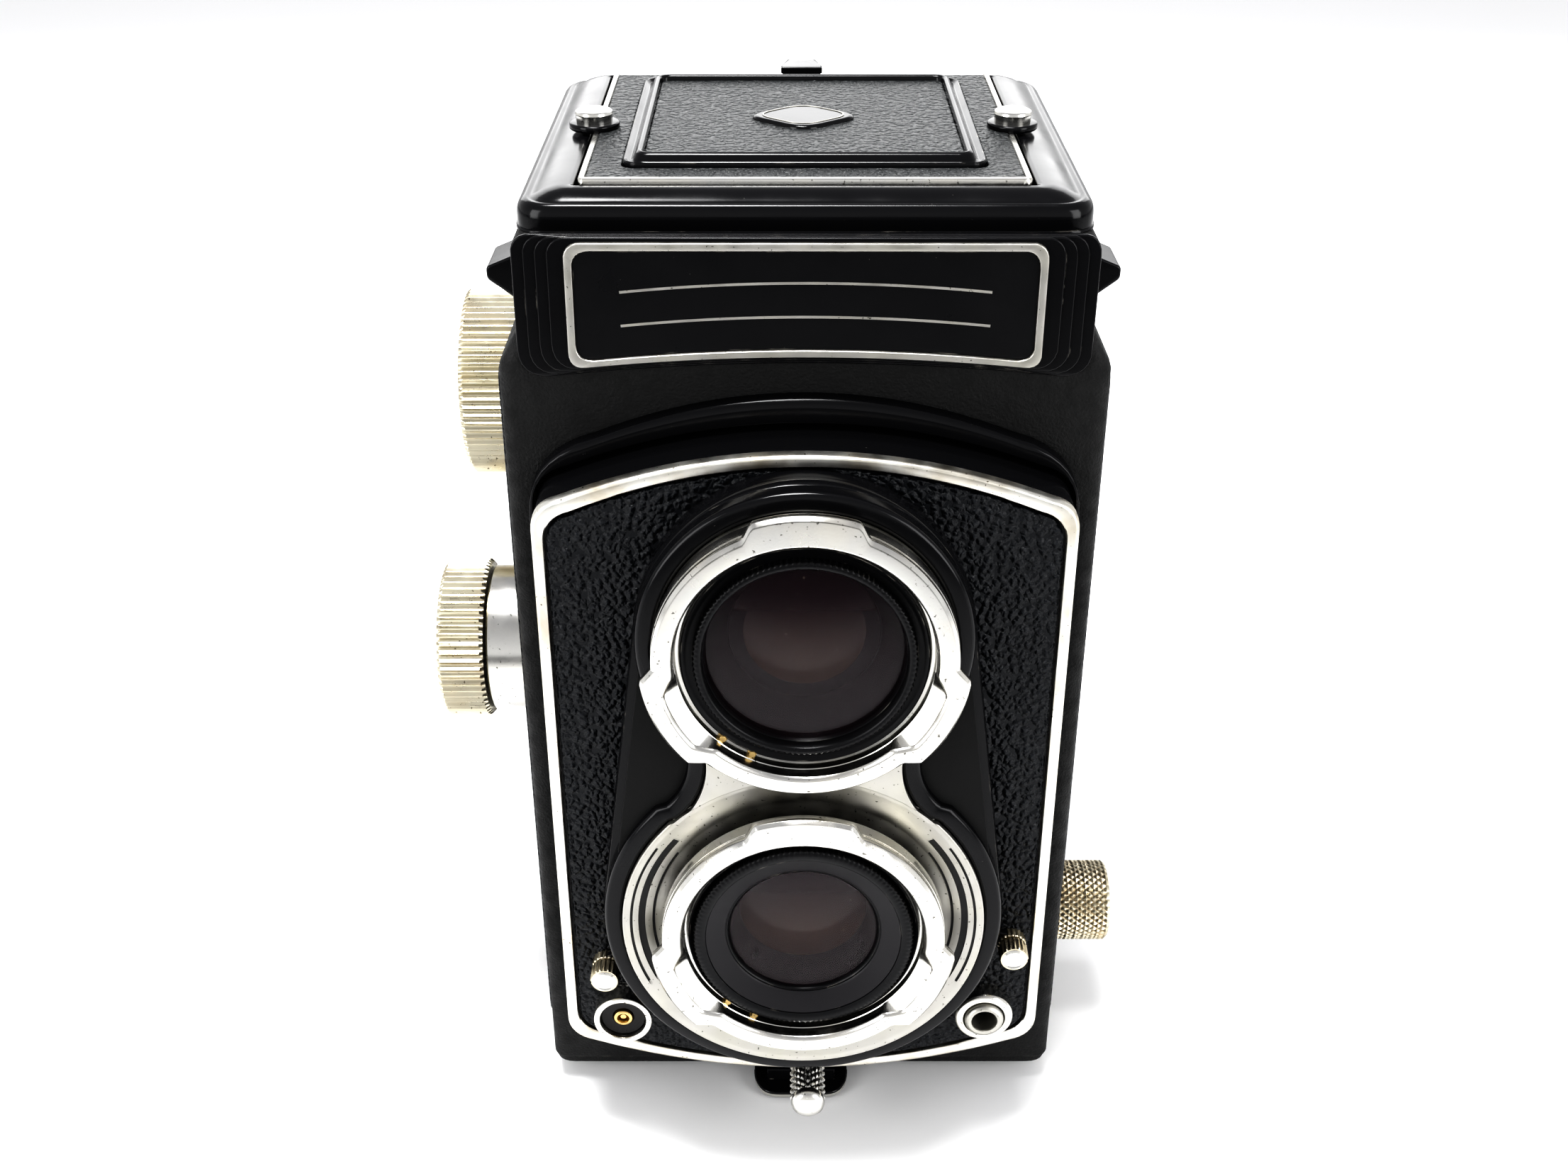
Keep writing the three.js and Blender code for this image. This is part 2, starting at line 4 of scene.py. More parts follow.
import bmesh
import bpy
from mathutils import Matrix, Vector


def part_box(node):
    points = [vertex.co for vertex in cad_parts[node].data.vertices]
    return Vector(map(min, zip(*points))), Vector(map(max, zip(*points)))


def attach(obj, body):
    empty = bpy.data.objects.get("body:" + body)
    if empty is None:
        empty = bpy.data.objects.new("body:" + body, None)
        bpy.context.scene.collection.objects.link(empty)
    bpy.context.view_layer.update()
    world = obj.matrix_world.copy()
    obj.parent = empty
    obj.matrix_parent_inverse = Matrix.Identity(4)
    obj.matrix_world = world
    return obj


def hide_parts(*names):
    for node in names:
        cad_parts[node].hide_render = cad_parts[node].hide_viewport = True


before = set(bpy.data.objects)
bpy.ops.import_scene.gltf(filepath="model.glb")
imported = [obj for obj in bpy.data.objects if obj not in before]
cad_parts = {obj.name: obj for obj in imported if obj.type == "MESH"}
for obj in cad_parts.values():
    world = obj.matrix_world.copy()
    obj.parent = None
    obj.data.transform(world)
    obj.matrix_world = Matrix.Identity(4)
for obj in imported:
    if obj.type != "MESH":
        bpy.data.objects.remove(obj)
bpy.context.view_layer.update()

# The design's own axes in millimetres: x from the symmetry plane, y from the body's front, z from the feet.
MM = 0.001
BODY_LOW, BODY_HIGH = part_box("body_casting")
ORIGIN = Vector(((BODY_LOW.x + BODY_HIGH.x) / 2, BODY_LOW.y, 0))


def at(x, y, z):
    return ORIGIN + Vector((x, y, z)) * MM


def centre_of(node):
    """A node's middle in the design's millimetres."""
    low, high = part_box(node)
    return ((low + high) / 2 - ORIGIN) / MM


TAKING_Z = centre_of("taking_lens_barrel").z
VIEWING_Z = centre_of("viewing_lens_barrel").z
WIND_AXIS = centre_of("wind_knob")
FOCUS_AXIS = centre_of("focus_knob")
SPOOL_AXIS = centre_of("spool_knob")
TURN = 2 * math.pi
LENS = "lens_standard"
CAMERA_PLACE, CAMERA_TILT, CAMERA_LENS = (-2.5, -197.8, 194.6), 29.17, 40.95


# ---------------------------------------------------------------- camera, floor and light

def make_camera():
    data = bpy.data.cameras.new("camera")
    data.sensor_width = 36
    data.lens = CAMERA_LENS
    data.clip_start = 0.01
    camera = bpy.data.objects.new("camera", data)
    camera.location = at(*CAMERA_PLACE)
    camera.rotation_euler = (math.radians(90 - CAMERA_TILT), 0, 0)
    bpy.context.collection.objects.link(camera)
    bpy.context.scene.camera = camera


def area_light(name, place, target, size, power):
    data = bpy.data.lights.new(name, "AREA")
    data.shape = "RECTANGLE"
    data.size, data.size_y = size
    data.energy = power
    light = bpy.data.objects.new(name, data)
    light.location = at(*place)
    aim = at(*target) - light.location
    light.rotation_euler = aim.to_track_quat("-Z", "Y").to_euler()
    bpy.context.collection.objects.link(light)


def make_studio():
    floor_mesh = bpy.data.meshes.new("floor")
    reach = 3
    corners = [(-reach, -reach, 0), (reach, -reach, 0), (reach, reach, 0), (-reach, reach, 0)]
    floor_mesh.from_pydata(corners, [], [(0, 1, 2, 3)])
    floor = bpy.data.objects.new("floor", floor_mesh)
    floor.location.z = -0.0002
    bpy.context.collection.objects.link(floor)
    pale = bpy.data.materials.new("pale_floor")
    pale.use_nodes = True
    shader = pale.node_tree.nodes["Principled BSDF"]
    shader.inputs["Roughness"].default_value = 0.8
    # painted shade: the sweep is white round the camera and falls off to grey far in front of it
    depth = node(pale, "SeparateXYZ")
    wire(pale, node(pale, "NewGeometry").outputs["Position"], depth.inputs[0])
    shade = ramp(pale, remap(pale, depth.outputs["Y"], -0.36, -0.13), 0, 1, (0.16,) * 3, (0.95,) * 3)
    wire(pale, shade, shader.inputs["Base Color"])
    floor_mesh.materials.append(pale)
    world = bpy.data.worlds.new("studio")
    bpy.context.scene.world = world
    world.use_nodes = True
    background = world.node_tree.nodes["Background"]
    background.inputs["Strength"].default_value = 0.8
    split = node(world, "SeparateXYZ")
    wire(world, node(world, "TexCoord").outputs["Generated"], split.inputs[0])
    sky = ramp(world, split.outputs["Z"], 0.02, 0.75, (1, 1, 1), (0.5, 0.5, 0.51))
    wire(world, sky, background.inputs["Color"])
    middle = (0, 20, 70)
    area_light("key_top", (-60, -40, 620), middle, (0.24, 0.16), 3.0)
    area_light("soft_back", (0, 560, 340), middle, (0.8, 0.3), 1.1)
    area_light("soft_left", (-520, -400, 240), middle, (0.3, 0.45), 1.6)
    area_light("soft_right", (520, -400, 240), middle, (0.3, 0.45), 1.6)
    scene = bpy.context.scene
    scene.view_settings.view_transform = "Standard"
    scene.view_settings.look = "Very High Contrast"
    scene.view_settings.exposure = 0


# ---------------------------------------------------------------- materials

def new_material(name, color, roughness, metallic=0.0, **sockets):
    material = bpy.data.materials.new(name)
    material.use_nodes = True
    shader = material.node_tree.nodes["Principled BSDF"]
    shader.inputs["Base Color"].default_value = (*color, 1)
    shader.inputs["Roughness"].default_value = roughness
    shader.inputs["Metallic"].default_value = metallic
    for key, value in sockets.items():
        shader.inputs[key.replace("_", " ")].default_value = value
    return material


def node(material, kind, **values):
    made = material.node_tree.nodes.new("ShaderNode" + kind)
    for key, value in values.items():
        if hasattr(made, key):
            setattr(made, key, value)
        else:
            made.inputs[key.replace("_", " ")].default_value = value
    return made


def wire(material, source, target):
    material.node_tree.links.new(source, target)


def noise(material, scale, detail=4.0):
    """A noise value over the piece's own place; scale is in features per metre."""
    made = node(material, "TexNoise", Scale=scale, Detail=detail)
    wire(material, node(material, "TexCoord").outputs["Object"], made.inputs["Vector"])
    return made.outputs["Fac"]


def ramp(material, value, low, high, low_color=(0, 0, 0), high_color=(1, 1, 1)):
    made = node(material, "ValToRGB")
    first, last = made.color_ramp.elements
    first.position, last.position = low, high
    first.color, last.color = (*low_color, 1), (*high_color, 1)
    wire(material, value, made.inputs["Fac"])
    return made.outputs["Color"]


def remap(material, value, low, high):
    span = node(material, "MapRange")
    span.inputs["From Min"].default_value = low
    span.inputs["From Max"].default_value = high
    wire(material, value, span.inputs["Value"])
    return span.outputs["Result"]


def product(material, a, b):
    made = node(material, "Math", operation="MULTIPLY")
    wire(material, a, made.inputs[0])
    wire(material, b, made.inputs[1])
    return made.outputs[0]


def shader_of(material):
    return material.node_tree.nodes["Principled BSDF"]


def vary_roughness(material, scale, low, high):
    shade = ramp(material, noise(material, scale), 0.3, 0.7, (low,) * 3, (high,) * 3)
    wire(material, shade, shader_of(material).inputs["Roughness"])


def blend_color(material, factor, other):
    """Mixes another colour over whatever feeds the base colour now."""
    socket = shader_of(material).inputs["Base Color"]
    mix = node(material, "Mix", data_type="RGBA")
    if socket.links:
        wire(material, socket.links[0].from_socket, mix.inputs[6])
    else:
        mix.inputs[6].default_value = socket.default_value
    mix.inputs[7].default_value = (*other, 1)
    wire(material, factor, mix.inputs[0])
    wire(material, mix.outputs[2], socket)


def bump(material, height, strength, distance):
    """Adds a bump layer on top of any that is there already."""
    socket = shader_of(material).inputs["Normal"]
    made = node(material, "Bump", Strength=strength, Distance=distance)
    wire(material, height, made.inputs["Height"])
    if socket.links:
        wire(material, socket.links[0].from_socket, made.inputs["Normal"])
    wire(material, made.outputs["Normal"], socket)


def edge_mask(material, radius, low, high, patch_scale):
    """White along sharp edges, broken up by patches."""
    soft = node(material, "Bevel", samples=4, Radius=radius)
    flat = node(material, "NewGeometry")
    dot = node(material, "VectorMath", operation="DOT_PRODUCT")
    wire(material, soft.outputs["Normal"], dot.inputs[0])
    wire(material, flat.outputs["Normal"], dot.inputs[1])
    away = node(material, "Math", operation="SUBTRACT")
    away.inputs[0].default_value = 1
    wire(material, dot.outputs["Value"], away.inputs[1])
    edge = ramp(material, away.outputs[0], low, high)
    patches = ramp(material, noise(material, patch_scale, 6), 0.56, 0.68)
    return product(material, edge, patches)


def specks(material, scale, low, color):
    """Small dark or pale specks of age."""
    spots = ramp(material, noise(material, scale, 2), low, low + 0.03)
    blend_color(material, spots, color)


def enamel(name, color, rough_low, rough_high):
    material = new_material(name, color, rough_low, Specular_IOR_Level=0.3)
    vary_roughness(material, 120, rough_low, rough_high)
    blend_color(material, edge_mask(material, 0.0003, 0.1, 0.3, 330), (0.5, 0.47, 0.41))
    specks(material, 2600, 0.79, (0.16, 0.15, 0.14))
    bump(material, noise(material, 900), 0.05, 0.00005)
    return material


def leather(name, color, cell):
    material = new_material(name, color, 0.4, Specular_IOR_Level=0.35)
    place = node(material, "TexCoord").outputs["Object"]
    warp = node(material, "TexNoise", Scale=cell * 0.6, Detail=3.0)
    wire(material, place, warp.inputs["Vector"])
    shift = node(material, "VectorMath", operation="MULTIPLY_ADD")
    shift.inputs[1].default_value = (0.0011,) * 3
    wire(material, warp.outputs["Color"], shift.inputs[0])
    wire(material, place, shift.inputs[2])
    pebbles = node(material, "TexVoronoi", feature="SMOOTH_F1", Scale=cell, Smoothness=0.35)
    wire(material, shift.outputs[0], pebbles.inputs["Vector"])
    creases = ramp(material, pebbles.outputs["Distance"], 0.15, 0.75, (1, 1, 1), (0, 0, 0))
    bump(material, creases, 1.0, 0.0004)
    bump(material, noise(material, cell * 4), 0.35, 0.00008)
    vary_roughness(material, cell * 1.5, 0.28, 0.5)
    # painted shade and highlight: the pebble tops are painted lighter than the creases between them
    blend_color(material, ramp(material, pebbles.outputs["Distance"], 0.1, 0.5, (1, 1, 1), (0, 0, 0)),
                tuple(c * 1.7 for c in color))
    return material


def plated(name, color, rough_low, rough_high, tarnish):
    material = new_material(name, color, rough_low, 1.0)
    vary_roughness(material, 350, rough_low, rough_high)
    clouds = ramp(material, noise(material, 160, 6), 0.42, 0.75)
    blend_color(material, clouds, tarnish)
    specks(material, 2100, 0.69, tuple(c * 0.3 for c in tarnish))
    bump(material, noise(material, 2500, 3), 0.06, 0.00004)
    return material


def make_materials():
    made = {}
    made["gloss"] = enamel("gloss_black_enamel", (0.009, 0.009, 0.01), 0.1, 0.2)
    crinkle = new_material("crinkle_enamel", (0.013, 0.013, 0.013), 0.62, Specular_IOR_Level=0.35)
    bump(crinkle, noise(crinkle, 3200, 3), 0.8, 0.00018)
    vary_roughness(crinkle, 500, 0.5, 0.75)
    blend_color(crinkle, edge_mask(crinkle, 0.0004, 0.03, 0.2, 300), (0.2, 0.18, 0.15))
    made["crinkle"] = crinkle
    made["leather"] = leather("pebbled_leatherette", (0.006, 0.007, 0.009), 1250)
    made["lid_leather"] = leather("lid_leatherette", (0.035, 0.037, 0.038), 1250)
    specks(made["lid_leather"], 1700, 0.7, (0.14, 0.14, 0.13))
    made["nickel"] = plated("bright_nickel", (0.6, 0.595, 0.575), 0.16, 0.28, (0.66, 0.64, 0.59))
    made["satin"] = plated("satin_nickel", (0.47, 0.46, 0.435), 0.34, 0.48, (0.47, 0.46, 0.41))
    made["knob"] = plated("worn_knob_plating", (0.6, 0.565, 0.46), 0.24, 0.4, (0.6, 0.52, 0.38))
    hollow = node(made["knob"], "NewGeometry").outputs["Pointiness"]
    grooves = ramp(made["knob"], hollow, 0.42, 0.5, (1, 1, 1), (0, 0, 0))
    blend_color(made["knob"], grooves, (0.2, 0.115, 0.035))
    made["cream"] = plated("worn_trim", (0.74, 0.73, 0.69), 0.28, 0.45, (0.52, 0.47, 0.38))
    made["dark"] = enamel("satin_black_anodising", (0.008, 0.008, 0.009), 0.26, 0.36)
    made["bakelite"] = enamel("bakelite", (0.015, 0.014, 0.014), 0.2, 0.3)
    made["cavity"] = new_material("blackened_inside", (0.004, 0.004, 0.004), 0.8)
    bump(made["cavity"], noise(made["cavity"], 2500), 0.2, 0.0001)
    glass = new_material("coated_glass", (0.02, 0.01, 0.014), 0.03, Alpha=0.3, Specular_IOR_Level=0.8)
    glass.surface_render_method = "BLENDED"
    specks(glass, 1500, 0.74, (0.4, 0.33, 0.27))
    depths = new_material("lens_depths", (0.08, 0.045, 0.03), 0.2, Coat_Weight=0.5)
    height = node(depths, "SeparateXYZ")
    wire(depths, node(depths, "TexCoord").outputs["Generated"], height.inputs[0])
    # painted reflection: lighter brown towards the bottom of the inner glass, near black towards its top
    painted_reflection = ramp(depths, height.outputs["Z"], 0.3, 0.75, (0.11, 0.065, 0.045), (0.016, 0.005, 0.008))
    wire(depths, painted_reflection, shader_of(depths).inputs["Base Color"])
    made["depths"] = depths
    made["glass"] = glass
    made["blades"] = new_material("shutter_steel", (0.17, 0.115, 0.085), 0.45, 0.3)
    vary_roughness(made["blades"], 500, 0.35, 0.55)
    specks(made["blades"], 1800, 0.7, (0.3, 0.25, 0.2))
    mirror = new_material("silvered_mirror", (0.9, 0.9, 0.9), 0.03, 1.0)
    vary_roughness(mirror, 90, 0.01, 0.05)
    made["mirror"] = mirror
    ground = new_material("ground_glass", (0.8, 0.82, 0.8), 0.5, Transmission_Weight=0.6)
    bump(ground, noise(ground, 9000), 0.3, 0.00002)
    made["ground"] = ground
    made["brass"] = plated("worn_brass", (0.72, 0.55, 0.28), 0.25, 0.4, (0.4, 0.28, 0.12))
    made["slate"] = enamel("grey_anodising", (0.022, 0.021, 0.023), 0.35, 0.45)
    made["paint"] = new_material("engraving_fill", (0.02, 0.02, 0.02), 0.5)
    bump(made["paint"], noise(made["paint"], 3000), 0.2, 0.00003)
    return made


M = make_materials()


# ---------------------------------------------------------------- outlines and profiles

def fillet(points, radius, steps=3, keep=()):
    """A closed outline with its corners rounded, except those listed in keep and those on a turning axis."""
    result = []
    count = len(points)
    for i, point in enumerate(points):
        before, after = Vector(points[i - 1]), Vector(points[(i + 1) % count])
        corner = Vector(point)
        if i in keep:
            result.append(tuple(corner))
            continue
        near = [(other - corner) for other in (before, after)]
        reach = [min(radius, 0.45 * side.length) for side in near]
        start, end = (corner + side.normalized() * r for side, r in zip(near, reach))
        for step in range(steps + 1):
            t = step / steps
            result.append(tuple(start * (1 - t) ** 2 + corner * 2 * t * (1 - t) + end * t * t))
    return result


def turned_fillet(profile, radius, steps=3):
    """A turned profile with its corners rounded off, but not where it meets the axis."""
    return fillet(profile, radius, steps, [i for i, (r, _) in enumerate(profile) if r == 0])


def rod(radius, low, high, edge):
    """The profile of a round bar with rounded ends."""
    return turned_fillet([(0, low), (radius, low), (radius, high), (0, high)], edge)


def curve(p0, control, p1, steps):
    """Points of a quadratic curve, without its last one."""
    a, b, c = Vector(p0), Vector(control), Vector(p1)
    return [tuple(a * (1 - t) ** 2 + b * 2 * t * (1 - t) + c * t * t)
            for t in (i / steps for i in range(steps))]


def traced(*arcs):
    """The outline that runs along several curves in turn."""
    return [point for arc in arcs for point in curve(*arc)]


def circle(radius, x=0, z=0, sides=96, start=0, stop=TURN):
    span = stop - start
    return [(x + radius * math.cos(start + span * i / sides), z + radius * math.sin(start + span * i / sides))
            for i in range(sides)]


def rounded_box(x0, x1, y0, y1, r, steps=6):
    return fillet([(x0, y0), (x1, y0), (x1, y1), (x0, y1)], r, steps)


def board_outline(margin, beside=None, below=None, corner=3.3):
    """The lens board's arched outline, grown by a margin; the sides and the bottom may grow less."""
    half = 32.7 + (margin if beside is None else beside)
    under = margin if below is None else below
    low, low_mid = 17 - under, 11.3 - under
    top, top_mid = 100.2 + margin, 106.4 + margin
    slope, middle = corner / 4, (low + top) / 2
    return traced(
        ((-half + corner, low - slope), (0, 2 * low_mid - low), (half - corner, low - slope), 28),
        ((half - corner, low - slope), (half, low), (half, low + corner), 8),
        ((half, low + corner), (half, middle), (half, top - corner), 20),
        ((half, top - corner), (half, top), (half - corner, top + slope), 8),
        ((half - corner, top + slope), (0, 2 * top_mid - top), (-half + corner, top + slope), 28),
        ((-half + corner, top + slope), (-half, top), (-half, top - corner), 8),
        ((-half, top - corner), (-half, middle), (-half, low + corner), 20),
        ((-half, low + corner), (-half, low), (-half + corner, low - slope), 8))


def peanut(margin, disc=26.05, top=20.5, neck=14.6, blend=9.0):
    """Outline of the shutter housing: two discs joined by a waisted neck."""
    disc, top, neck, blend = disc + margin, top + margin, neck + margin, blend - margin
    low_z = TAKING_Z + math.sqrt((disc + blend) ** 2 - (neck + blend) ** 2)
    high_z = VIEWING_Z - math.sqrt((top + blend) ** 2 - (neck + blend) ** 2)
    if low_z > high_z:
        low_z = high_z = (low_z + high_z) / 2
    a = math.atan2(low_z - TAKING_Z, neck + blend)
    b = math.atan2(high_z - VIEWING_Z, neck + blend)
    right = circle(disc, 0, TAKING_Z, 48, -math.pi / 2, a)
    right += circle(blend, neck + blend, low_z, 12, a + math.pi, math.pi)
    right += circle(blend, neck + blend, high_z, 12, math.pi, math.pi + b)
    right += circle(top, 0, VIEWING_Z, 32, b, math.pi / 2)
    right.append((0, VIEWING_Z + top))
    return right + [(-x, z) for x, z in reversed(right[1:-1])]


# ---------------------------------------------------------------- mesh makers (millimetres in, objects out)

def turned(profile, axis, centre, sides=96, ripple=None):
    """A closed profile of (radius, place along the axis) points turned about X, Y or Z."""
    rings = []
    for r, h in profile:
        ring = []
        for i in range(sides):
            angle = TURN * i / sides
            radius = r - (ripple(r, h, angle) if ripple and r > 0 else 0)
            u, v = centre[0] + radius * math.cos(angle), centre[1] + radius * math.sin(angle)
            ring.append({"X": (h, u, v), "Y": (u, h, v), "Z": (u, v, h)}[axis])
        rings.append(ring)
    return lofted(rings, True)


def lofted(rings, loop=False):
    """Faces between rings of equal length; loop joins the last ring to the first, otherwise caps both."""
    count, faces = len(rings[0]), []
    verts = [point for ring in rings for point in ring]
    rows = len(rings)
    for j in range(rows if loop else rows - 1):
        for i in range(count):
            k, up = (i + 1) % count, (j + 1) % rows
            faces.append((j * count + i, j * count + k, up * count + k, up * count + i))
    if not loop:
        faces.append(tuple(range(count)))
        faces.append(tuple((rows - 1) * count + i for i in reversed(range(count))))
    return verts, faces


def ring_of(outline, section, place):
    """A closed ring: the section's [margin, height] points swept along outline(margin)."""
    return lofted([[place(u, v, h) for u, v in outline(margin)] for margin, h in section], True)


def facing(u, v, h):
    """Outline in x and z, height along y."""
    return (u, h, v)


def upright(u, v, h):
    """Outline in x and y, height along z."""
    return (u, v, h)


def plate(outline, holes, low, high, axis, edge=0.15, steps=2):
    """A flat plate with holes and rounded edges, between low and high along its axis."""
    data = bpy.data.curves.new("plate", "CURVE")
    data.dimensions, data.fill_mode = "2D", "BOTH"
    data.extrude = (high - low) / 2 - edge
    data.bevel_depth, data.bevel_resolution, data.offset = edge, steps, -edge
    for points in [outline, *holes]:
        spline = data.splines.new("POLY")
        spline.points.add(len(points) - 1)
        for target, (u, v) in zip(spline.points, points):
            target.co = (u, v, 0, 1)
        spline.use_cyclic_u = True
    holder = bpy.data.objects.new("plate", data)
    mesh = bpy.data.meshes.new_from_object(holder)
    middle = (low + high) / 2
    turn = {
        "Y": lambda p: (p.x, middle - p.z, p.y),
        "X": lambda p: (middle + p.z, p.x, p.y),
        "Z": lambda p: (p.x, p.y, middle + p.z),
    }[axis]
    verts = [turn(v.co) for v in mesh.vertices]
    faces = [tuple(p.vertices) for p in mesh.polygons]
    bpy.data.objects.remove(holder)
    bpy.data.curves.remove(data)
    bpy.data.meshes.remove(mesh)
    return verts, faces


def block(x0, x1, y0, y1, z0, z1, edge=0.3):
    """A box with rounded edges."""
    bm = bmesh.new()
    bmesh.ops.create_cube(bm, size=1)
    for v in bm.verts:
        v.co = Vector(((x0, x1)[v.co.x > 0], (y0, y1)[v.co.y > 0], (z0, z1)[v.co.z > 0]))
    bmesh.ops.bevel(bm, geom=bm.edges[:], offset=edge, segments=3, affect="EDGES", profile=0.5)
    bm.verts.ensure_lookup_table()
    bm.verts.index_update()
    verts = [tuple(v.co) for v in bm.verts]
    faces = [tuple(v.index for v in f.verts) for f in bm.faces]
    bm.free()
    return verts, faces


def scratch(solid):
    """A throwaway object in millimetres, with its faces turned outwards."""
    verts, faces = solid
    mesh = bpy.data.meshes.new("scratch")
    mesh.from_pydata([Vector(v) for v in verts], [], faces)
    bm = bmesh.new()
    bm.from_mesh(mesh)
    bmesh.ops.remove_doubles(bm, verts=bm.verts, dist=1e-4)
    bmesh.ops.recalc_face_normals(bm, faces=bm.faces)
    bm.to_mesh(mesh)
    bm.free()
    made = bpy.data.objects.new("scratch", mesh)
    bpy.context.collection.objects.link(made)
    return made


def carved(base, *cutters):
    """A solid with the cutters taken out of it."""
    body = scratch(base)
    tools = [scratch(cutter) for cutter in cutters]
    for tool in tools:
        cut = body.modifiers.new("cut", "BOOLEAN")
        cut.operation, cut.solver, cut.object = "DIFFERENCE", "EXACT", tool
    mesh = bpy.data.meshes.new_from_object(body.evaluated_get(bpy.context.evaluated_depsgraph_get()))
    verts = [tuple(v.co) for v in mesh.vertices]
    faces = [tuple(p.vertices) for p in mesh.polygons]
    for made in [body, *tools]:
        bpy.data.meshes.remove(made.data)
    bpy.data.meshes.remove(mesh)
    return verts, faces


def box(x0, x1, y0, y1, z0, z1):
    """A plain box, for cutting."""
    low, high = [(x0, y0), (x1, y0), (x1, y1), (x0, y1)], (z0, z1)
    return lofted([[upright(u, v, h) for u, v in low] for h in high])


def drum(radius, low, high, axis, centre, sides=48):
    """A plain round bar, for cutting."""
    return turned([(0, low), (radius, low), (radius, high), (0, high)], axis, centre, sides)


def rail(path, section, place, loop=False):
    """A section of [offset, height] points swept along a path; the offset is to the path's left."""
    rings = []
    last = len(path) - 1
    for i, (u, v) in enumerate(path):
        before = Vector(path[i - 1] if loop else path[max(i - 1, 0)])
        after = Vector(path[(i + 1) % len(path)] if loop else path[min(i + 1, last)])
        along = (after - before).normalized()
        rings.append([place(u - along.y * o, v + along.x * o, h) for o, h in section])
    return lofted(rings, loop)


def piece(name, solids, material, body, replaces=(), sharp=40, second=None, choose=None):
    """One visible object from (vertices, faces) solids; choose(face centre) picks the second material."""
    bm = bmesh.new()
    for verts, faces in [solids] if isinstance(solids, tuple) else solids:
        made = [bm.verts.new(at(*v)) for v in verts]
        for face in faces:
            if len(set(face)) > 2 and not bm.faces.get([made[i] for i in face]):
                bm.faces.new([made[i] for i in face])
    bmesh.ops.remove_doubles(bm, verts=bm.verts, dist=2e-6)
    bmesh.ops.dissolve_degenerate(bm, edges=bm.edges, dist=1e-6)
    bmesh.ops.recalc_face_normals(bm, faces=bm.faces)
    for edge in bm.edges:
        if len(edge.link_faces) == 2 and edge.calc_face_angle(0) > math.radians(sharp):
            edge.smooth = False
    for face in bm.faces:
        face.smooth = True
        if choose and choose((face.calc_center_median() - ORIGIN) / MM):
            face.material_index = 1
    mesh = bpy.data.meshes.new(name)
    bm.to_mesh(mesh)
    bm.free()
    mesh.materials.append(M[material])
    if second:
        mesh.materials.append(M[second])
    made = bpy.data.objects.new(name, mesh)
    bpy.context.collection.objects.link(made)
    made.modifiers.new("even_shading", "WEIGHTED_NORMAL").keep_sharp = True
    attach(made, body)
    if replaces:
        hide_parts(*replaces)
    return made


def spin(axis, where, body, rows):
    """Pieces turned about one line, from (name, material, nodes replaced, sides, profile) rows."""
    for name, material, stands_for, sides, profile in rows:
        piece(name, turned(profile, axis, where, sides), material, body, stands_for)


# ---------------------------------------------------------------- body

BODY_HALF, TOP_HALF, BODY_BACK = 36.7, 34, 73


def body_ring(half, z, inset=0):
    return [upright(u, v, z) for u, v in rounded_box(-half, half, inset, BODY_BACK, 2, 8)]


def surround_outline(margin):
    """The board's outline, grown fully over its arch but only a little along its sides and below."""
    return board_outline(margin, 0.65 + 0.25 * (margin - 0.65), 0.5 + 0.2 * margin, 3.3 + 1.6 * margin)


def make_body():
    hull = lofted([
        body_ring(BODY_HALF - 0.6, 4, 0.6), body_ring(BODY_HALF - 0.15, 4.2, 0.15), body_ring(BODY_HALF, 4.7),
        body_ring(BODY_HALF, 113.6), body_ring(BODY_HALF - 0.3, 114.6), body_ring(TOP_HALF + 0.3, 118.4),
        body_ring(TOP_HALF, 119.4), body_ring(TOP_HALF, 129), body_ring(TOP_HALF - 0.5, 129.5, 0.5),
    ])
    opening = lofted([[facing(u, v, y) for u, v in board_outline(0.5)] for y in (-1, 3)])
    shell = carved(
        hull,
        box(-33.2, 33.2, 31.5, 78, 6.5, 116), box(-33.2, 33.2, 5.2, 31.6, -1, 116), opening,
        drum(14.6, 2, 6.5, "Y", (0, TAKING_Z)), drum(16, 2, 6.5, "Y", (0, VIEWING_Z)),
        box(-27.3, 27.3, 5.2, 59.4, 115, 130.5), box(-28.6, 28.6, 4.5, 60.5, 118.3, 130.5),
    )
    piece("body_shell", shell, "crinkle", "root", ["body_casting"], 30)
    lip = [(0.65, -0.1), (0.65, -1.35), (0.75, -1.6), (0.95, -1.7), (2.2, -1.7), (2.65, -1.6), (3.05, -1.3),
           (3.35, -0.8), (3.5, 0), (3.2, 0.2), (1.0, 0.2)]
    piece("opening_lip", ring_of(surround_outline, lip, facing), "gloss", "root", ["front_bezel"], 60)


def make_side_leathers():
    sheet = rounded_box(5, 70, 8, 112, 2.5)
    holes = {
        "left": [circle(10.7, WIND_AXIS.y, WIND_AXIS.z), circle(11.3, FOCUS_AXIS.y, FOCUS_AXIS.z)],
        "right": [circle(6.7, SPOOL_AXIS.y, SPOOL_AXIS.z)],
    }
    for side, (low, high) in {"left": (-37.5, -36.6), "right": (36.6, 37.5)}.items():
        skin = plate(sheet, holes[side], low, high, "X", 0.3)
        piece(side + "_leather", skin, "leather", "root", [side + "_side_leather"])


def block_outline(margin):
    """The name plate block's front outline, shrunk by a margin; its lower edge is arched."""
    half, low, high = 34 - margin * 1.4, 113.2 + margin * 0.4, 130.7 - margin * 0.03
    return traced(
        ((-half + 3.5, low), (0, low + 3.4), (half - 3.5, low), 24),
        ((half - 3.5, low), (half, low), (half, low + 3.5), 6),
        ((half, high - 2.6), (half, high), (half - 2.6, high), 6),
        ((-half + 2.6, high), (-half, high), (-half, high - 2.6), 6),
        ((-half, low + 3.5), (-half, low), (-half + 3.5, low), 6))


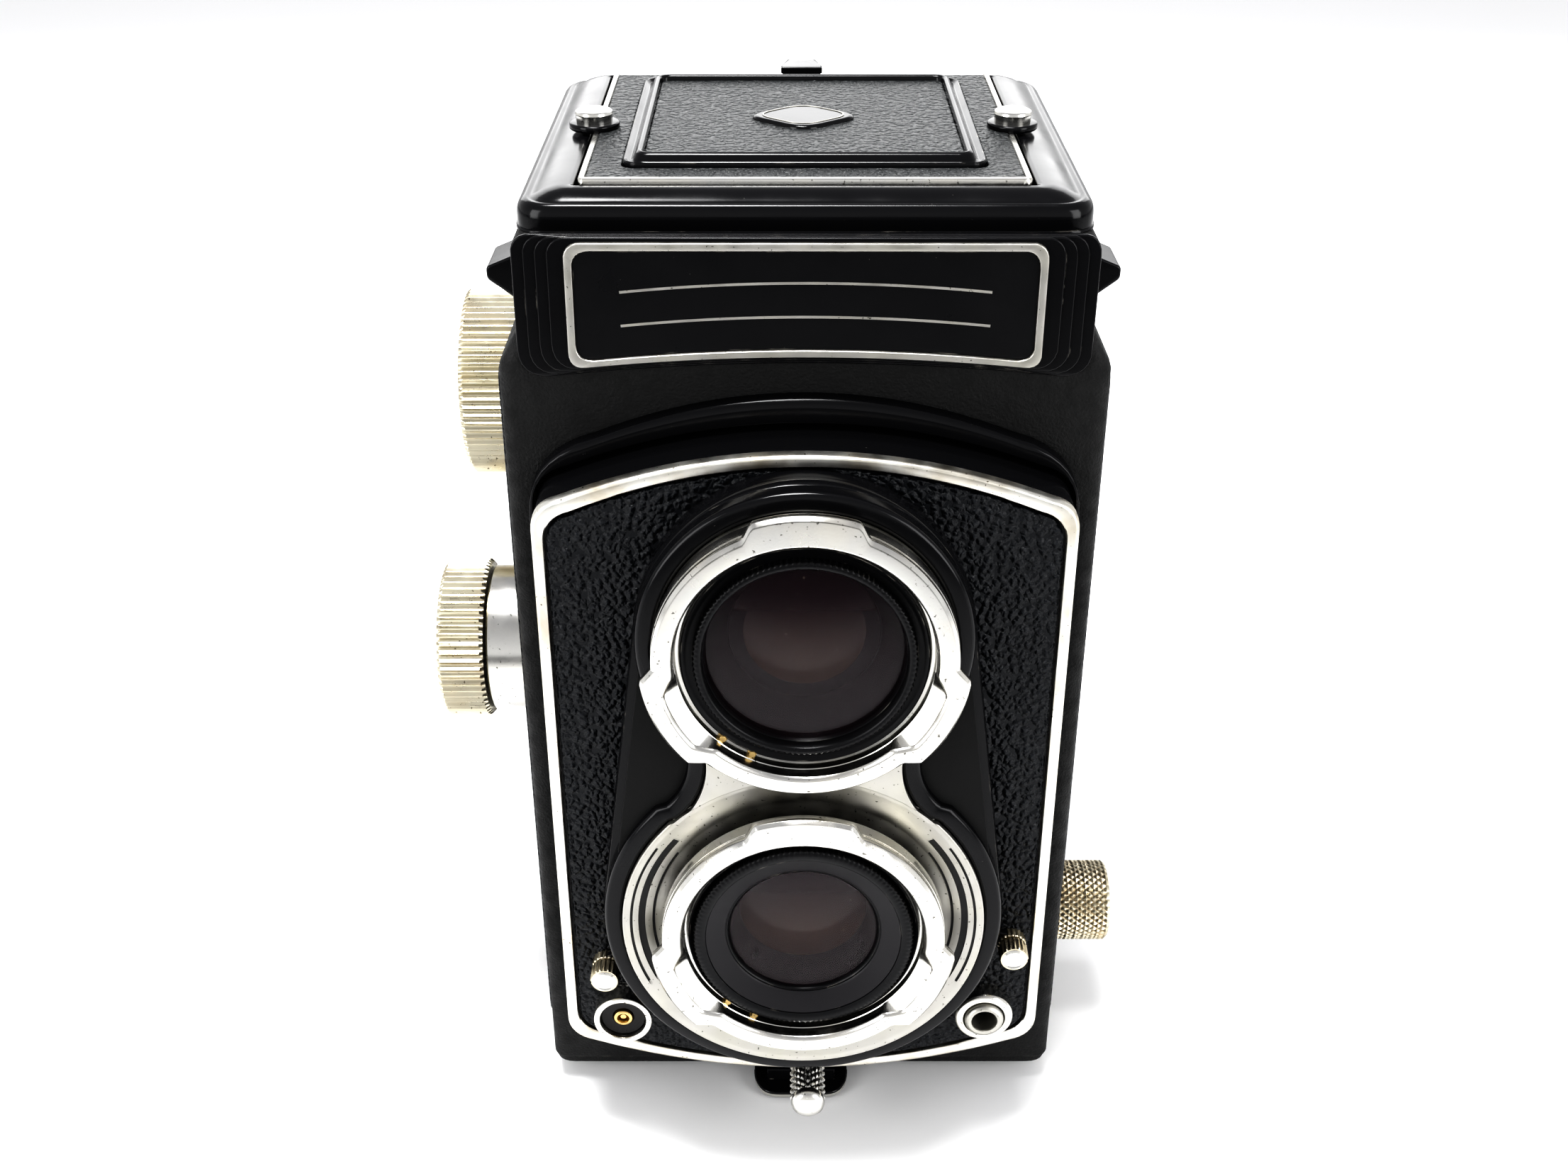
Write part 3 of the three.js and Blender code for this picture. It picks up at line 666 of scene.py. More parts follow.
def frame_outline(margin):
    """The outline of the bright frame on the name plate block, grown by a margin."""
    half, low, high = 27.8 + margin, 114.9 - margin, 130.1 + margin
    return traced(
        ((-half + 2, low), (0, low + 2.6), (half - 2, low), 24),
        ((half - 2, low), (half, low - 0.2), (half, low + 2), 6),
        ((half, high - 2.2), (half, high), (half - 2.2, high), 6),
        ((-half + 2.2, high), (-half, high), (-half, high - 2.2), 6),
        ((-half, low + 2), (-half, low - 0.2), (-half + 2, low), 6))


def make_name_plate():
    steps = []
    for i in range(4):
        front = -0.5 - 0.35 * i
        steps.append(plate(block_outline(i), [], front, front + 0.6, "Y", 0.2, 3))
    backing = plate(block_outline(0.3), [], -0.4, 0.3, "Y", 0.1)
    piece("name_block", [backing, *steps], "gloss", "root", ["name_plate_block"])
    band = [(0, -1.5), (0, -1.95), (-0.12, -2.1), (-0.85, -2.1), (-0.97, -1.95), (-0.97, -1.5)]
    piece("name_frame", ring_of(frame_outline, band, facing), "satin", "root", ["name_plate"], 50)
    piece("name_field", plate(frame_outline(-1), [], -1.75, -1.5, "Y", 0.05), "dark", "root")
    for name, z in [("line_upper", 124.2), ("line_lower", 120.1)]:
        path = [(21.5 * t, z + 1.1 * (1 - t * t)) for t in (i / 16 for i in range(-16, 17))]
        section = [(-0.16, -1.7), (-0.16, -1.86), (0.16, -1.86), (0.16, -1.7)]
        piece("name_" + name, rail(path, section, facing), "satin", "root")


# ---------------------------------------------------------------- lens board

def make_board():
    wall = [(-0.9, 2.4), (0, 2.4), (0, -7.3), (-0.15, -7.5), (-4, -7.5), (-4, -7), (-0.9, -7)]
    piece("board_shell", ring_of(board_outline, wall, facing), "gloss", LENS, [], 60)
    lens_holes = [circle(16, 0, VIEWING_Z), circle(21.8, 0, TAKING_Z)]
    face = plate(board_outline(-1.2), lens_holes, -8.2, -7, "Y", 0.05)
    piece("board_plate", face, "dark", LENS, ["lens_board"])
    trim = [(-0.1, -7.4), (0.05, -7.6), (0.05, -8.7), (-0.15, -9.1), (-0.4, -9.2), (-1.25, -9.2),
            (-1.45, -9.0), (-1.45, -7.4)]
    piece("board_trim", ring_of(board_outline, trim, facing), "cream", LENS, [], 50)
    holes = [circle(18.6, 0, VIEWING_Z), circle(22, 0, TAKING_Z)]
    skin = plate(board_outline(-1.75), holes, -9.1, -8.1, "Y", 0.35, 3)
    piece("board_leatherette", skin, "leather", LENS, ["board_leather"])


def hull_outline(margin, disc=26.05, top=20.5):
    """The shutter's base: two discs joined by their common tangents."""
    disc, top = disc + margin, top + margin
    a = math.asin((disc - top) / (VIEWING_Z - TAKING_Z))
    right = circle(disc, 0, TAKING_Z, 40, -math.pi / 2, a)
    right += circle(top, 0, VIEWING_Z, 40, a, math.pi / 2)
    return right + [(-x, z) for x, z in reversed(right)]


DISH = [(23.3, -16), (22.8, -15.9), (19.2, -14.8), (18.2, -14.7), (16.5, -14.7)]
GROOVES = [(22.3, 22.6, 34), (20.68, 21.52, 40), (19.4, 19.7, 35)]
GROOVE_LOW = -25


def dish_height(r):
    for (r1, y1), (r0, y0) in zip(DISH, DISH[1:]):
        if r0 <= r <= r1:
            return y0 + (y1 - y0) * (r - r0) / (r1 - r0)
    return DISH[-1][1]


def in_groove(r, angle):
    """Whether a place on the dish is inside one of its engraved arcs, which are alike on both sides."""
    side = math.degrees(math.atan2(math.sin(angle), abs(math.cos(angle))))
    return any(low < r < high and GROOVE_LOW < side < top for low, high, top in GROOVES)


def make_dish():
    radii = {r for r, _ in DISH}
    for low, high, _ in GROOVES:
        radii |= {low - 0.02, low + 0.02, high - 0.02, high + 0.02}
    radii |= {22.9, 21.9, 20.2, 18.8, 17.4}
    rows = sorted(radii)

    def ring(r, height):
        angles = [TURN * i / 360 for i in range(360)]
        return [(r * math.cos(a), height(r, a), TAKING_Z + r * math.sin(a)) for a in angles]

    rings = [ring(r, lambda r, a: dish_height(r) + (0.22 if in_groove(r, a) else 0)) for r in rows]
    rings += [ring(r, lambda r, a: -14.2) for r in (rows[-1], rows[0])]

    def engraved(place):
        x, z = place.x, place.z - TAKING_Z
        return in_groove(math.hypot(x, z), math.atan2(z, x))

    piece("shutter_dish", lofted(rings, True), "satin", LENS, [], 35, "paint", engraved)


def make_shutter():
    rim = [(0, -11.1), (0, -14.5), (-0.2, -14.95), (-0.6, -15.2), (-1.7, -15.35), (-2.2, -15.3),
           (-2.4, -14.9), (-3.4, -14.9), (-3.4, -11.1)]
    piece("shutter_rim", ring_of(peanut, rim, facing), "gloss", LENS, ["shutter_housing"], 60)
    base = [(0, -11), (0.25, -11.3), (0.25, -12.6), (0, -13), (-5, -13), (-5, -11)]
    piece("shutter_base", ring_of(hull_outline, base, facing), "gloss", LENS, [], 50)
    viewing_hole = circle(15.6, 0, VIEWING_Z)
    floor = plate(hull_outline(-1), [viewing_hole, circle(13.7, 0, TAKING_Z)], -14.1, -11.2, "Y", 0.1)
    piece("shutter_floor", floor, "cavity", LENS)
    core = [(13.9, -11.1), (21.5, -11.1), (21.5, -8.4), (13.9, -8.4)]
    spin("Y", (0, TAKING_Z), LENS, [("shutter_core", "gloss", [], 96, core)])
    neck = [(x, z) for x, z in hull_outline(0.1) if z > NECK_LOW]
    piece("shutter_shoulders", plate(neck, [viewing_hole], -11.3, -8.6, "Y", 0.1), "gloss", LENS)
    face = plate(peanut(-2.45), [circle(23.25, 0, TAKING_Z), circle(17, 0, VIEWING_Z)], -16, -15, "Y", 0.12)
    piece("face_plate", face, "satin", LENS, ["shutter_face_plate"])
    make_dish()


LOBE_ANGLES = (90, 205, 335)
SCREW_ANGLES = (229, 245)
NECK_LOW = 62  # the shoulders' lower end, over the shutter's core


def lobe(angle, half=21, fade=5):
    """1 on the ring's three lobes, 0 between them, with short slopes."""
    away = min(abs((math.degrees(angle) - middle + 180) % 360 - 180) for middle in LOBE_ANGLES)
    return min(1, max(0, (half + fade / 2 - away) / fade))


def pocket(angle, fade=8):
    """1 in the two recesses low on the ring's inner wall."""
    side = math.degrees(math.atan2(math.sin(angle), abs(math.cos(angle))))
    return min(1, max(0, (side + 48) / fade)) * min(1, max(0, (-6 - side) / fade))


def make_bayonet(name, z):
    profile = [
        (18.1, -16.3), (18.3, -16.5), (18.3, -18.4), (19.5, -18.45), (19.75, -18.6), (19.8, -18.8),
        (19.8, -19.45), (19.7, -19.6), (19.4, -19.95), (19.2, -20), (16.25, -20), (16.1, -19.95),
        (15.75, -19.6), (15.7, -19.45), (15.6, -18.2), (15.5, -18.1), (15.4, -17.2), (14.6, -17.0),
        (14.2, -16.9), (13.95, -16.3),
    ]

    def shape(r, h, angle):
        if r > 19:
            return 1.55 * (1 - lobe(angle))
        if 15.65 < r < 16.3:
            return -1.5 * pocket(angle)
        return 0

    ring = turned(profile, "Y", (0, z), 240, shape)
    piece(name.replace("_bayonet", "_mount"), ring, "nickel", LENS, [name], 35)
    head = [(0, -17.8), (0.4, -17.8), (0.55, -17.6), (0.55, -17), (0, -17)]
    for i, degrees in enumerate(SCREW_ANGLES):
        angle = math.radians(degrees)
        place = (15.1 * math.cos(angle), z + 15.1 * math.sin(angle))
        spin("Y", place, LENS, [(f"{name[:-5]}_screw_{i + 1}", "brass", [], 24, head)])


def serrate(limit, teeth, depth):
    """Straight serrations on a profile's parts outside the limit radius."""
    def shape(r, h, angle):
        if r < limit:
            return 0
        return depth * (0.5 - 0.5 * math.cos(teeth * angle)) ** 0.7
    return shape


def knurl(limit, teeth, pitch, depth):
    """Diamond knurling on a profile's parts outside the limit radius."""
    def shape(r, h, angle):
        if r < limit:
            return 0
        swing = TURN * h / pitch
        left, right = (0.5 - 0.5 * math.cos(teeth * angle + s * swing) for s in (-1, 1))
        return depth * max(left, right) ** 2
    return shape


def rows_between(r, low, high, count):
    return [(r, low + (high - low) * i / count) for i in range(count + 1)]


def make_viewing_lens():
    where = (0, VIEWING_Z)
    spin("Y", where, LENS, [
        ("viewing_tube", "dark", ["viewing_lens_barrel"], 96,
         turned_fillet([(15.3, -16), (15.3, 2.4), (14.1, 2.4), (14.1, -16)], 0.3)),
        ("viewing_well_ring", "dark", [], 96,
         [(14.9, -16.5), (14.9, -17.5), (14.7, -17.7), (14.3, -17.5), (14.0, -17.3), (13.3, -17.3),
          (13.3, -16.5)]),
    ])
    grip = [(13.4, -17), (13.4, -18.3), (13.2, -18.5), (12.6, -18.55), (12.3, -18.3), (12.2, -17)]
    piece("viewing_grip_ring", turned(grip, "Y", where, 480, serrate(13.0, 120, 0.2)), "dark", LENS,
          ["viewing_retaining_ring"], 50)
    spin("Y", where, LENS, [
        ("viewing_cone", "dark", [], 96,
         [(12.9, -16.5), (12.4, -17.1), (12.2, -17.1), (11.9, -16.7), (9.5, -11.8), (9.3, -11.5),
          (9.3, -10.8), (12.9, -10.8)]),
        ("viewing_inner_glass", "depths", [], 96,
         [(0, -11.9), (4, -11.7), (7, -11.4), (9.35, -10.9), (9.35, -9.5), (0, -9)]),
        ("viewing_glass", "glass", ["viewing_front_element"], 96,
         [(0, -18.35), (4, -18.2), (8, -17.75), (12.15, -17), (12.15, -16.7), (8, -17.3), (4, -17.7),
          (0, -17.85)]),
    ])


def make_taking_lens():
    where = (0, TAKING_Z)
    spin("Y", where, LENS, [
        ("taking_tube", "dark", ["taking_lens_barrel"], 96,
         turned_fillet([(13.5, -15.9), (13.5, 3.5), (11.8, 3.5), (11.8, -15.9)], 0.3)),
        ("taking_well_ring", "dark", [], 96,
         [(14.9, -16.5), (14.9, -17.8), (14.7, -18), (14.4, -17.8), (14.2, -17.5), (14.2, -16.5)]),
    ])
    grip = [(14.3, -17), (14.3, -18.5), (14.1, -18.7), (13.2, -18.8), (12.7, -18.5), (12.6, -17)]
    piece("taking_grip_ring", turned(grip, "Y", where, 520, serrate(14.0, 130, 0.2)), "dark", LENS, [], 50)
    spin("Y", where, LENS, [
        ("taking_cone", "slate", ["taking_name_ring"], 96,
         [(12.75, -16.2), (12.75, -18.35), (12.6, -18.4), (10.3, -17.3), (10.1, -17.1), (10.1, -16.2)]),
        ("taking_bezel", "dark", [], 96,
         [(10.2, -16.2), (10.2, -17), (9.9, -17.05), (9.6, -16.8), (8.5, -12.4), (8.4, -12),
          (8.4, -11.8), (11.5, -11.8), (11.5, -16.1)]),
        ("taking_inner_glass", "depths", [], 96,
         [(0, -12.5), (3, -12.4), (6, -12.1), (8.45, -11.7), (8.45, -11.55), (0, -11.6)]),
        ("taking_glass", "glass", ["taking_front_element"], 96,
         [(0, -17.6), (4, -17.45), (7, -17.1), (9.75, -16.6), (9.75, -16.3), (7, -16.75), (4, -17),
          (0, -17.15)]),
        ("taking_rear_glass", "glass", ["taking_rear_element"], 96,
         [(0, -3.4), (4, -3.3), (8, -3.0), (11.4, -2.5), (11.4, -0.4), (8, 0.0), (4, 0.3), (0, 0.4)]),
    ])


def make_sockets():
    spin("Y", (-24.7, 22.7), LENS, [
        ("sync_ring", "nickel", ["sync_socket"], 64,
         turned_fillet([(4, -8.8), (4, -12.3), (3.15, -12.3), (3.05, -8.8)], 0.25)),
        ("sync_core", "bakelite", [], 64,
         [(3.1, -9), (3.1, -11.4), (2.9, -11.55), (2.6, -11.45), (1.5, -11.4), (1.3, -11.2), (1.2, -9)]),
        ("sync_pin", "brass", [], 40,
         [(1.25, -9), (1.25, -11.7), (1.1, -11.8), (0.85, -11.8), (0.75, -11.6), (0.75, -10.6),
          (0.45, -10.6), (0.4, -11.4), (0, -11.45), (0, -9)]),
    ])
    spin("Y", (25.1, 22.7), LENS, [
        ("cable_ring", "nickel", ["cable_release_socket"], 64, turned_fillet(
            [(4, -8.8), (4, -11.4), (3.7, -11.8), (2.9, -11.9), (2.75, -11.5), (2.6, -8.8)], 0.15)),
        ("cable_nipple", "satin", [], 64,
         [(2.7, -9), (2.7, -11.9), (2.55, -12.3), (2.2, -12.5), (1.8, -12.4), (1.65, -12.1), (1.5, -9)]),
        ("cable_bottom", "cavity", [], 32, [(0, -9.4), (1.55, -9.4), (1.55, -9), (0, -9)]),
    ])


def lever_arm(angle, reach, half):
    """A flat arm that runs out from under the shutter's rim to the knob."""
    outline = rounded_box(21.8, reach + half, -half, half, half * 0.9, 5)
    c, s = math.cos(angle), math.sin(angle)
    turned_out = [(u * c - v * s, TAKING_Z + u * s + v * c) for u, v in outline]
    return plate(turned_out, [], -10.6, -9.6, "Y", 0.2)


def make_levers():
    for kind, degrees, reach in [("aperture", 203.1, 29.03), ("speed", -15, 29.3)]:
        angle = math.radians(degrees)
        where = (reach * math.cos(angle), TAKING_Z + reach * math.sin(angle))
        body = kind + "_lever_body"
        piece(kind + "_arm", lever_arm(angle, reach, 1.5), "gloss", body, [kind + "_lever"])
        collar = turned([(0, -9.5), (1.95, -9.5), (1.95, -10.9), (1.75, -11), (0, -11)], "Y", where, 120,
                        serrate(1.9, 20, 0.2))
        grip = turned([(0, -11.3), (1.8, -11.3), (1.95, -11.45), (1.95, -13.5), (1.8, -13.7), (0, -13.7)],
                      "Y", where, 120, serrate(1.9, 20, 0.2))
        neck = turned([(0, -10.9), (1.3, -10.9), (1.3, -11.4), (0, -11.4)], "Y", where, 40)
        piece(kind + "_grip", [collar, neck, grip], "knob", body, [], 30)
        cap = [(0, -13.6), (1.6, -13.6), (1.62, -13.75), (1.35, -13.9), (1.15, -13.8), (0.95, -13.8),
               (0.6, -13.95), (0, -14)]
        piece(kind + "_cap", turned(cap, "Y", where, 40), "nickel", body)
    angle = math.radians(-88.5)
    reach, body = 31.5, "cocking_lever_body"
    where = (reach * math.cos(angle), TAKING_Z + reach * math.sin(angle))
    piece("cocking_arm", lever_arm(angle, reach, 1.5), "gloss", body, ["cocking_lever"])
    shank = [(0, -9.5), (2.2, -9.5), *rows_between(2.48, -9.8, -15.2, 30), (2.2, -15.5), (0, -15.5)]
    piece("cocking_grip", turned(shank, "Y", where, 120, knurl(2.4, 12, 1.15, 0.28)), "nickel", body, [], 30)
    dome = [(0, -15.3), (2.3, -15.3), (2.35, -15.8), (2.2, -16.3), (1.7, -16.75), (0.9, -16.95), (0, -17)]
    piece("cocking_cap", turned(dome, "Y", where, 64), "nickel", body)


# ---------------------------------------------------------------- knobs

def make_knobs():
    where = (FOCUS_AXIS.y, FOCUS_AXIS.z)
    rim = [(0, -49.5), (7.9, -49.5), (8.2, -50), (8.9, -50.3), (10.6, -50.3), (11.2, -49.8), (11.2, -44.4),
           (10.7, -43.9), (0, -43.9)]
    piece("focus_grip", turned(rim, "X", where, 480, serrate(11.05, 60, 0.5)), "knob", "focus_drive",
          ["focus_knob"], 30)
    spin("X", where, "focus_drive", [
        ("focus_face", "satin", [], 96,
         rod(7.6, -49.6, -50.1, 0.3)),
        ("focus_collar", "nickel", ["focus_collar_shaft"], 96,
         [(0, -43.6), (10.1, -43.6), (10.4, -43.3), (10.4, -38), (10.1, -37.7), (2.8, -37.7), (2.8, -27),
          (4.4, -27), (4.4, -25), (0, -25)]),
    ])
    where = (WIND_AXIS.y, WIND_AXIS.z)
    rim = [(0, -49.2), (9.8, -49.2), (10.3, -49.9), (11.2, -50.3), (13.7, -50.3), (14.3, -49.7),
           (14.3, -41.6), (13.7, -41), (0, -41)]
    piece("wind_grip", turned(rim, "X", where, 576, serrate(14.1, 72, 0.6)), "knob", "wind_drive",
          ["wind_knob"], 30)
    face = rod(9.5, -49.3, -49.9, 0.3)
    piece("wind_face", turned(face, "X", where), "satin", "wind_drive")
    screw = carved(turned([(0, -49.7), (2.2, -49.7), (2.2, -50.1), (1.9, -50.3), (0, -50.3)], "X", where, 48),
                   box(-51, -50.05, where[0] - 3, where[0] + 3, where[1] - 0.3, where[1] + 0.3))
    piece("wind_screw", screw, "nickel", "wind_drive")
    spin("X", where, "wind_drive", [
        ("wind_collar", "nickel", ["wind_collar_shaft"], 96,
         [(0, -40.7), (9.7, -40.7), (10, -40.4), (10, -38), (9.7, -37.7), (2.6, -37.7), (2.6, -33),
          (0, -33)]),
        ("film_spool", "gloss", ["take_up_spool"], 96,
         [(0, -32.4), (12.2, -32.4), (12.4, -32.2), (12.4, -31.7), (12.2, -31.5), (5.75, -31.5),
          (5.75, 31.5), (12.2, 31.5), (12.4, 31.7), (12.4, 32.2), (12.2, 32.4), (0, 32.4)]),
    ])
    where = (SPOOL_AXIS.y, SPOOL_AXIS.z)
    knob = [(0, 37.9), (5.6, 37.9), *rows_between(6, 38.2, 46.1, 42), (5.6, 46.5), (5.2, 46.6), (4.6, 46.4),
            (0, 46.4)]
    piece("pull_knob", turned(knob, "X", where, 252, knurl(5.9, 36, 1.3, 0.3)), "knob", "spool_pin",
          ["spool_knob"], 30)
    spindle = rod(2.6, 30, 38, 0.5)
    piece("pull_spindle", turned(spindle, "X", where, 48), "nickel", "spool_pin")


# ---------------------------------------------------------------- hood

def hood_outline(t):
    """The hood rim's outline: t = 0 at its opening and 1 at its outer wall."""
    half = 27.15 + 6.85 * t
    return rounded_box(-half, half, 7.7 - 4.7 * t, 61.4 + 3.1 * t, 0.6 + 4.2 * t, 8)


def make_hood_rim():
    section = [(0, 129.8), (0, 133.7), (0.04, 133.95), (0.1, 134.05), (0.3, 133.95), (0.5, 133.6),
               (0.66, 133.1), (0.74, 132.85), (0.78, 132.82), (0.81, 132.9), (0.85, 132.88), (0.9, 132.7),
               (0.95, 132.35), (0.985, 131.85), (1, 131.2), (1, 129.8)]
    piece("hood_rim", ring_of(hood_outline, section, upright), "gloss", "root", ["hood_frame"], 50)
    shelf = [(0, 129.4), (0, 129.9), (1.0, 129.9), (1.02, 129.75), (1.02, 129.4)]
    piece("hood_shelf", ring_of(hood_outline, shelf, upright), "gloss", "root", [], 50)


BADGE_Y = 34


def flap_outline(margin):
    """The finder flap's outline, grown by a margin."""
    return rounded_box(-22 - margin, 22 + margin, 13.4 - margin, 57 + margin, 2.6 + margin * 0.5, 8)


def badge_outline(margin):
    """The blank lozenge on the finder flap, grown by a margin."""
    w, d = 7.7 + margin, 6.6 + margin * 0.9
    return [(u, v + BADGE_Y) for u, v in fillet([(-w, 0), (0, -d), (w, 0), (0, d)], 3.0, 8)]


def lid_path(half, front, back, corner):
    """The lid's edge line from the left rear corner round the front to the right rear corner."""
    left = [(-half, back), (-half, front + corner)] + curve((-half, front + corner), (-half, front),
                                                            (-half + corner, front), 5)
    return left + [(half - corner, front)] + curve((half - corner, front), (half, front),
                                                   (half, front + corner), 5) + [(half, back)]


def make_lid():
    panel = plate(rounded_box(-26.8, 26.8, 8, 61, 1.0), [], 132.4, 133.8, "Z", 0.3)
    piece("lid_panel", panel, "gloss", "lid", ["hood_lid"])
    strip = [(0.02, 133.3), (0.02, 134.35), (0.2, 134.6), (0.75, 134.6), (0.9, 134.4), (0.9, 133.3)]
    piece("lid_trim", rail(lid_path(26.85, 8.0, 60.5, 1.2), strip, upright), "nickel", "lid", [], 50)
    hole = rounded_box(-22.1, 22.1, 13.3, 57.1, 1.6)
    skin = plate(rounded_box(-26, 26, 8.9, 60.3, 0.8), [hole], 133.6, 134.45, "Z", 0.2)
    piece("lid_skin", skin, "lid_leather", "lid", ["lid_leather"])
    bead = [(0, 133.8), (0, 134.75), (-0.15, 134.95), (-0.35, 134.9), (-0.6, 134.6), (-0.95, 134.55),
            (-1.25, 134.9), (-1.5, 135.45), (-1.85, 135.75), (-2.2, 135.7), (-2.45, 135.4), (-2.5, 133.8)]
    piece("flap_bead", ring_of(flap_outline, bead, upright), "gloss", "lid", ["finder_flap_frame"], 60)
    skin = plate(flap_outline(-2.45), [], 133.9, 135.05, "Z", 0.25)
    piece("flap_skin", skin, "lid_leather", "lid", ["finder_flap_leather"])
    base = lofted([[upright(u, v, z) for u, v in badge_outline(m)]
                   for m, z in [(0, 134.9), (0, 135.2), (-0.25, 135.45), (-0.7, 135.5)]])
    piece("flap_badge", base, "gloss", "lid", [], 50)
    line = [(-1.25, 135.45), (-1.25, 135.58), (-1.45, 135.58), (-1.45, 135.45)]
    piece("flap_badge_line", ring_of(badge_outline, line, upright), "satin", "lid", [], 50)
    tab = [(-2.9, 59.9), (2.9, 59.9), (2.9, 61.2), (2.0, 65)] + curve((2.0, 65), (0, 64.1), (-2.0, 65), 8)
    tab += [(-2.0, 65), (-2.9, 61.2)]
    piece("lid_tab", [plate(tab, [], 134.7, 135.6, "Z", 0.2), block(-2.7, 2.7, 60, 61, 133.5, 135.2, 0.2)],
          "gloss", "lid")
    for side, x in (("left", -26.9), ("right", 26.9)):
        flange = rod(3.25, 134.3, 135.2, 0.3)
        piece(f"stud_flange_{side}", turned(flange, "Z", (x, 32), 64), "gloss", "lid")
        stud = [(0, 135.1), (2.3, 135.1), (2.35, 135.3), (2.35, 136.1), (2.45, 136.25), (2.35, 136.55),
                (2.05, 136.7), (1.5, 136.6), (0, 136.6)]
        piece(f"stud_{side}", turned(stud, "Z", (x, 32), 64), "nickel", "lid", [f"hood_stud_{side}"])
    spin("Z", (0, 35), "lid", [
        ("magnifier_ring", "dark", ["magnifier_frame"], 96,
         turned_fillet([(12.45, 129), (12.45, 132.1), (11.2, 132.1), (11.2, 129)], 0.3)),
        ("magnifier_glass", "glass", ["magnifier_lens"], 96,
         [(0, 128.6), (4, 128.75), (8, 129.2), (10.9, 130), (10.9, 130.8), (8, 131.3), (4, 131.75),
          (0, 131.9)]),
    ])


def make_hood_panels():
    for side, s in (("left", -1), ("right", 1)):
        edge = [(26.3, 10), (0.5, 35.8), (0.5, 59), (26.3, 59)]
        points = fillet([(s * x, y) for x, y in edge], 0.8)
        panel = plate(points, [], 126, 126.8, "Z", 0.2)
        hinge = rod(0.55, 12, 58, 0.2)
        piece(f"side_panel_{side}", [panel, turned(hinge, "Y", (s * 26.1, 126.4), 20)], "crinkle",
              f"hood_side_{side}_body", [f"hood_side_{side}"])
    points = fillet([(-25.6, 59.9), (-1.8, 36.1), (1.8, 36.1), (25.6, 59.9)], 0.8)
    hinge = rod(0.55, -23, 23, 0.2)
    piece("rear_panel", [plate(points, [], 124, 124.8, "Z", 0.2), turned(hinge, "X", (59.6, 124.4), 20)],
          "crinkle", "hood_rear_body", ["hood_rear"])


# ---------------------------------------------------------------- door, latch and fittings

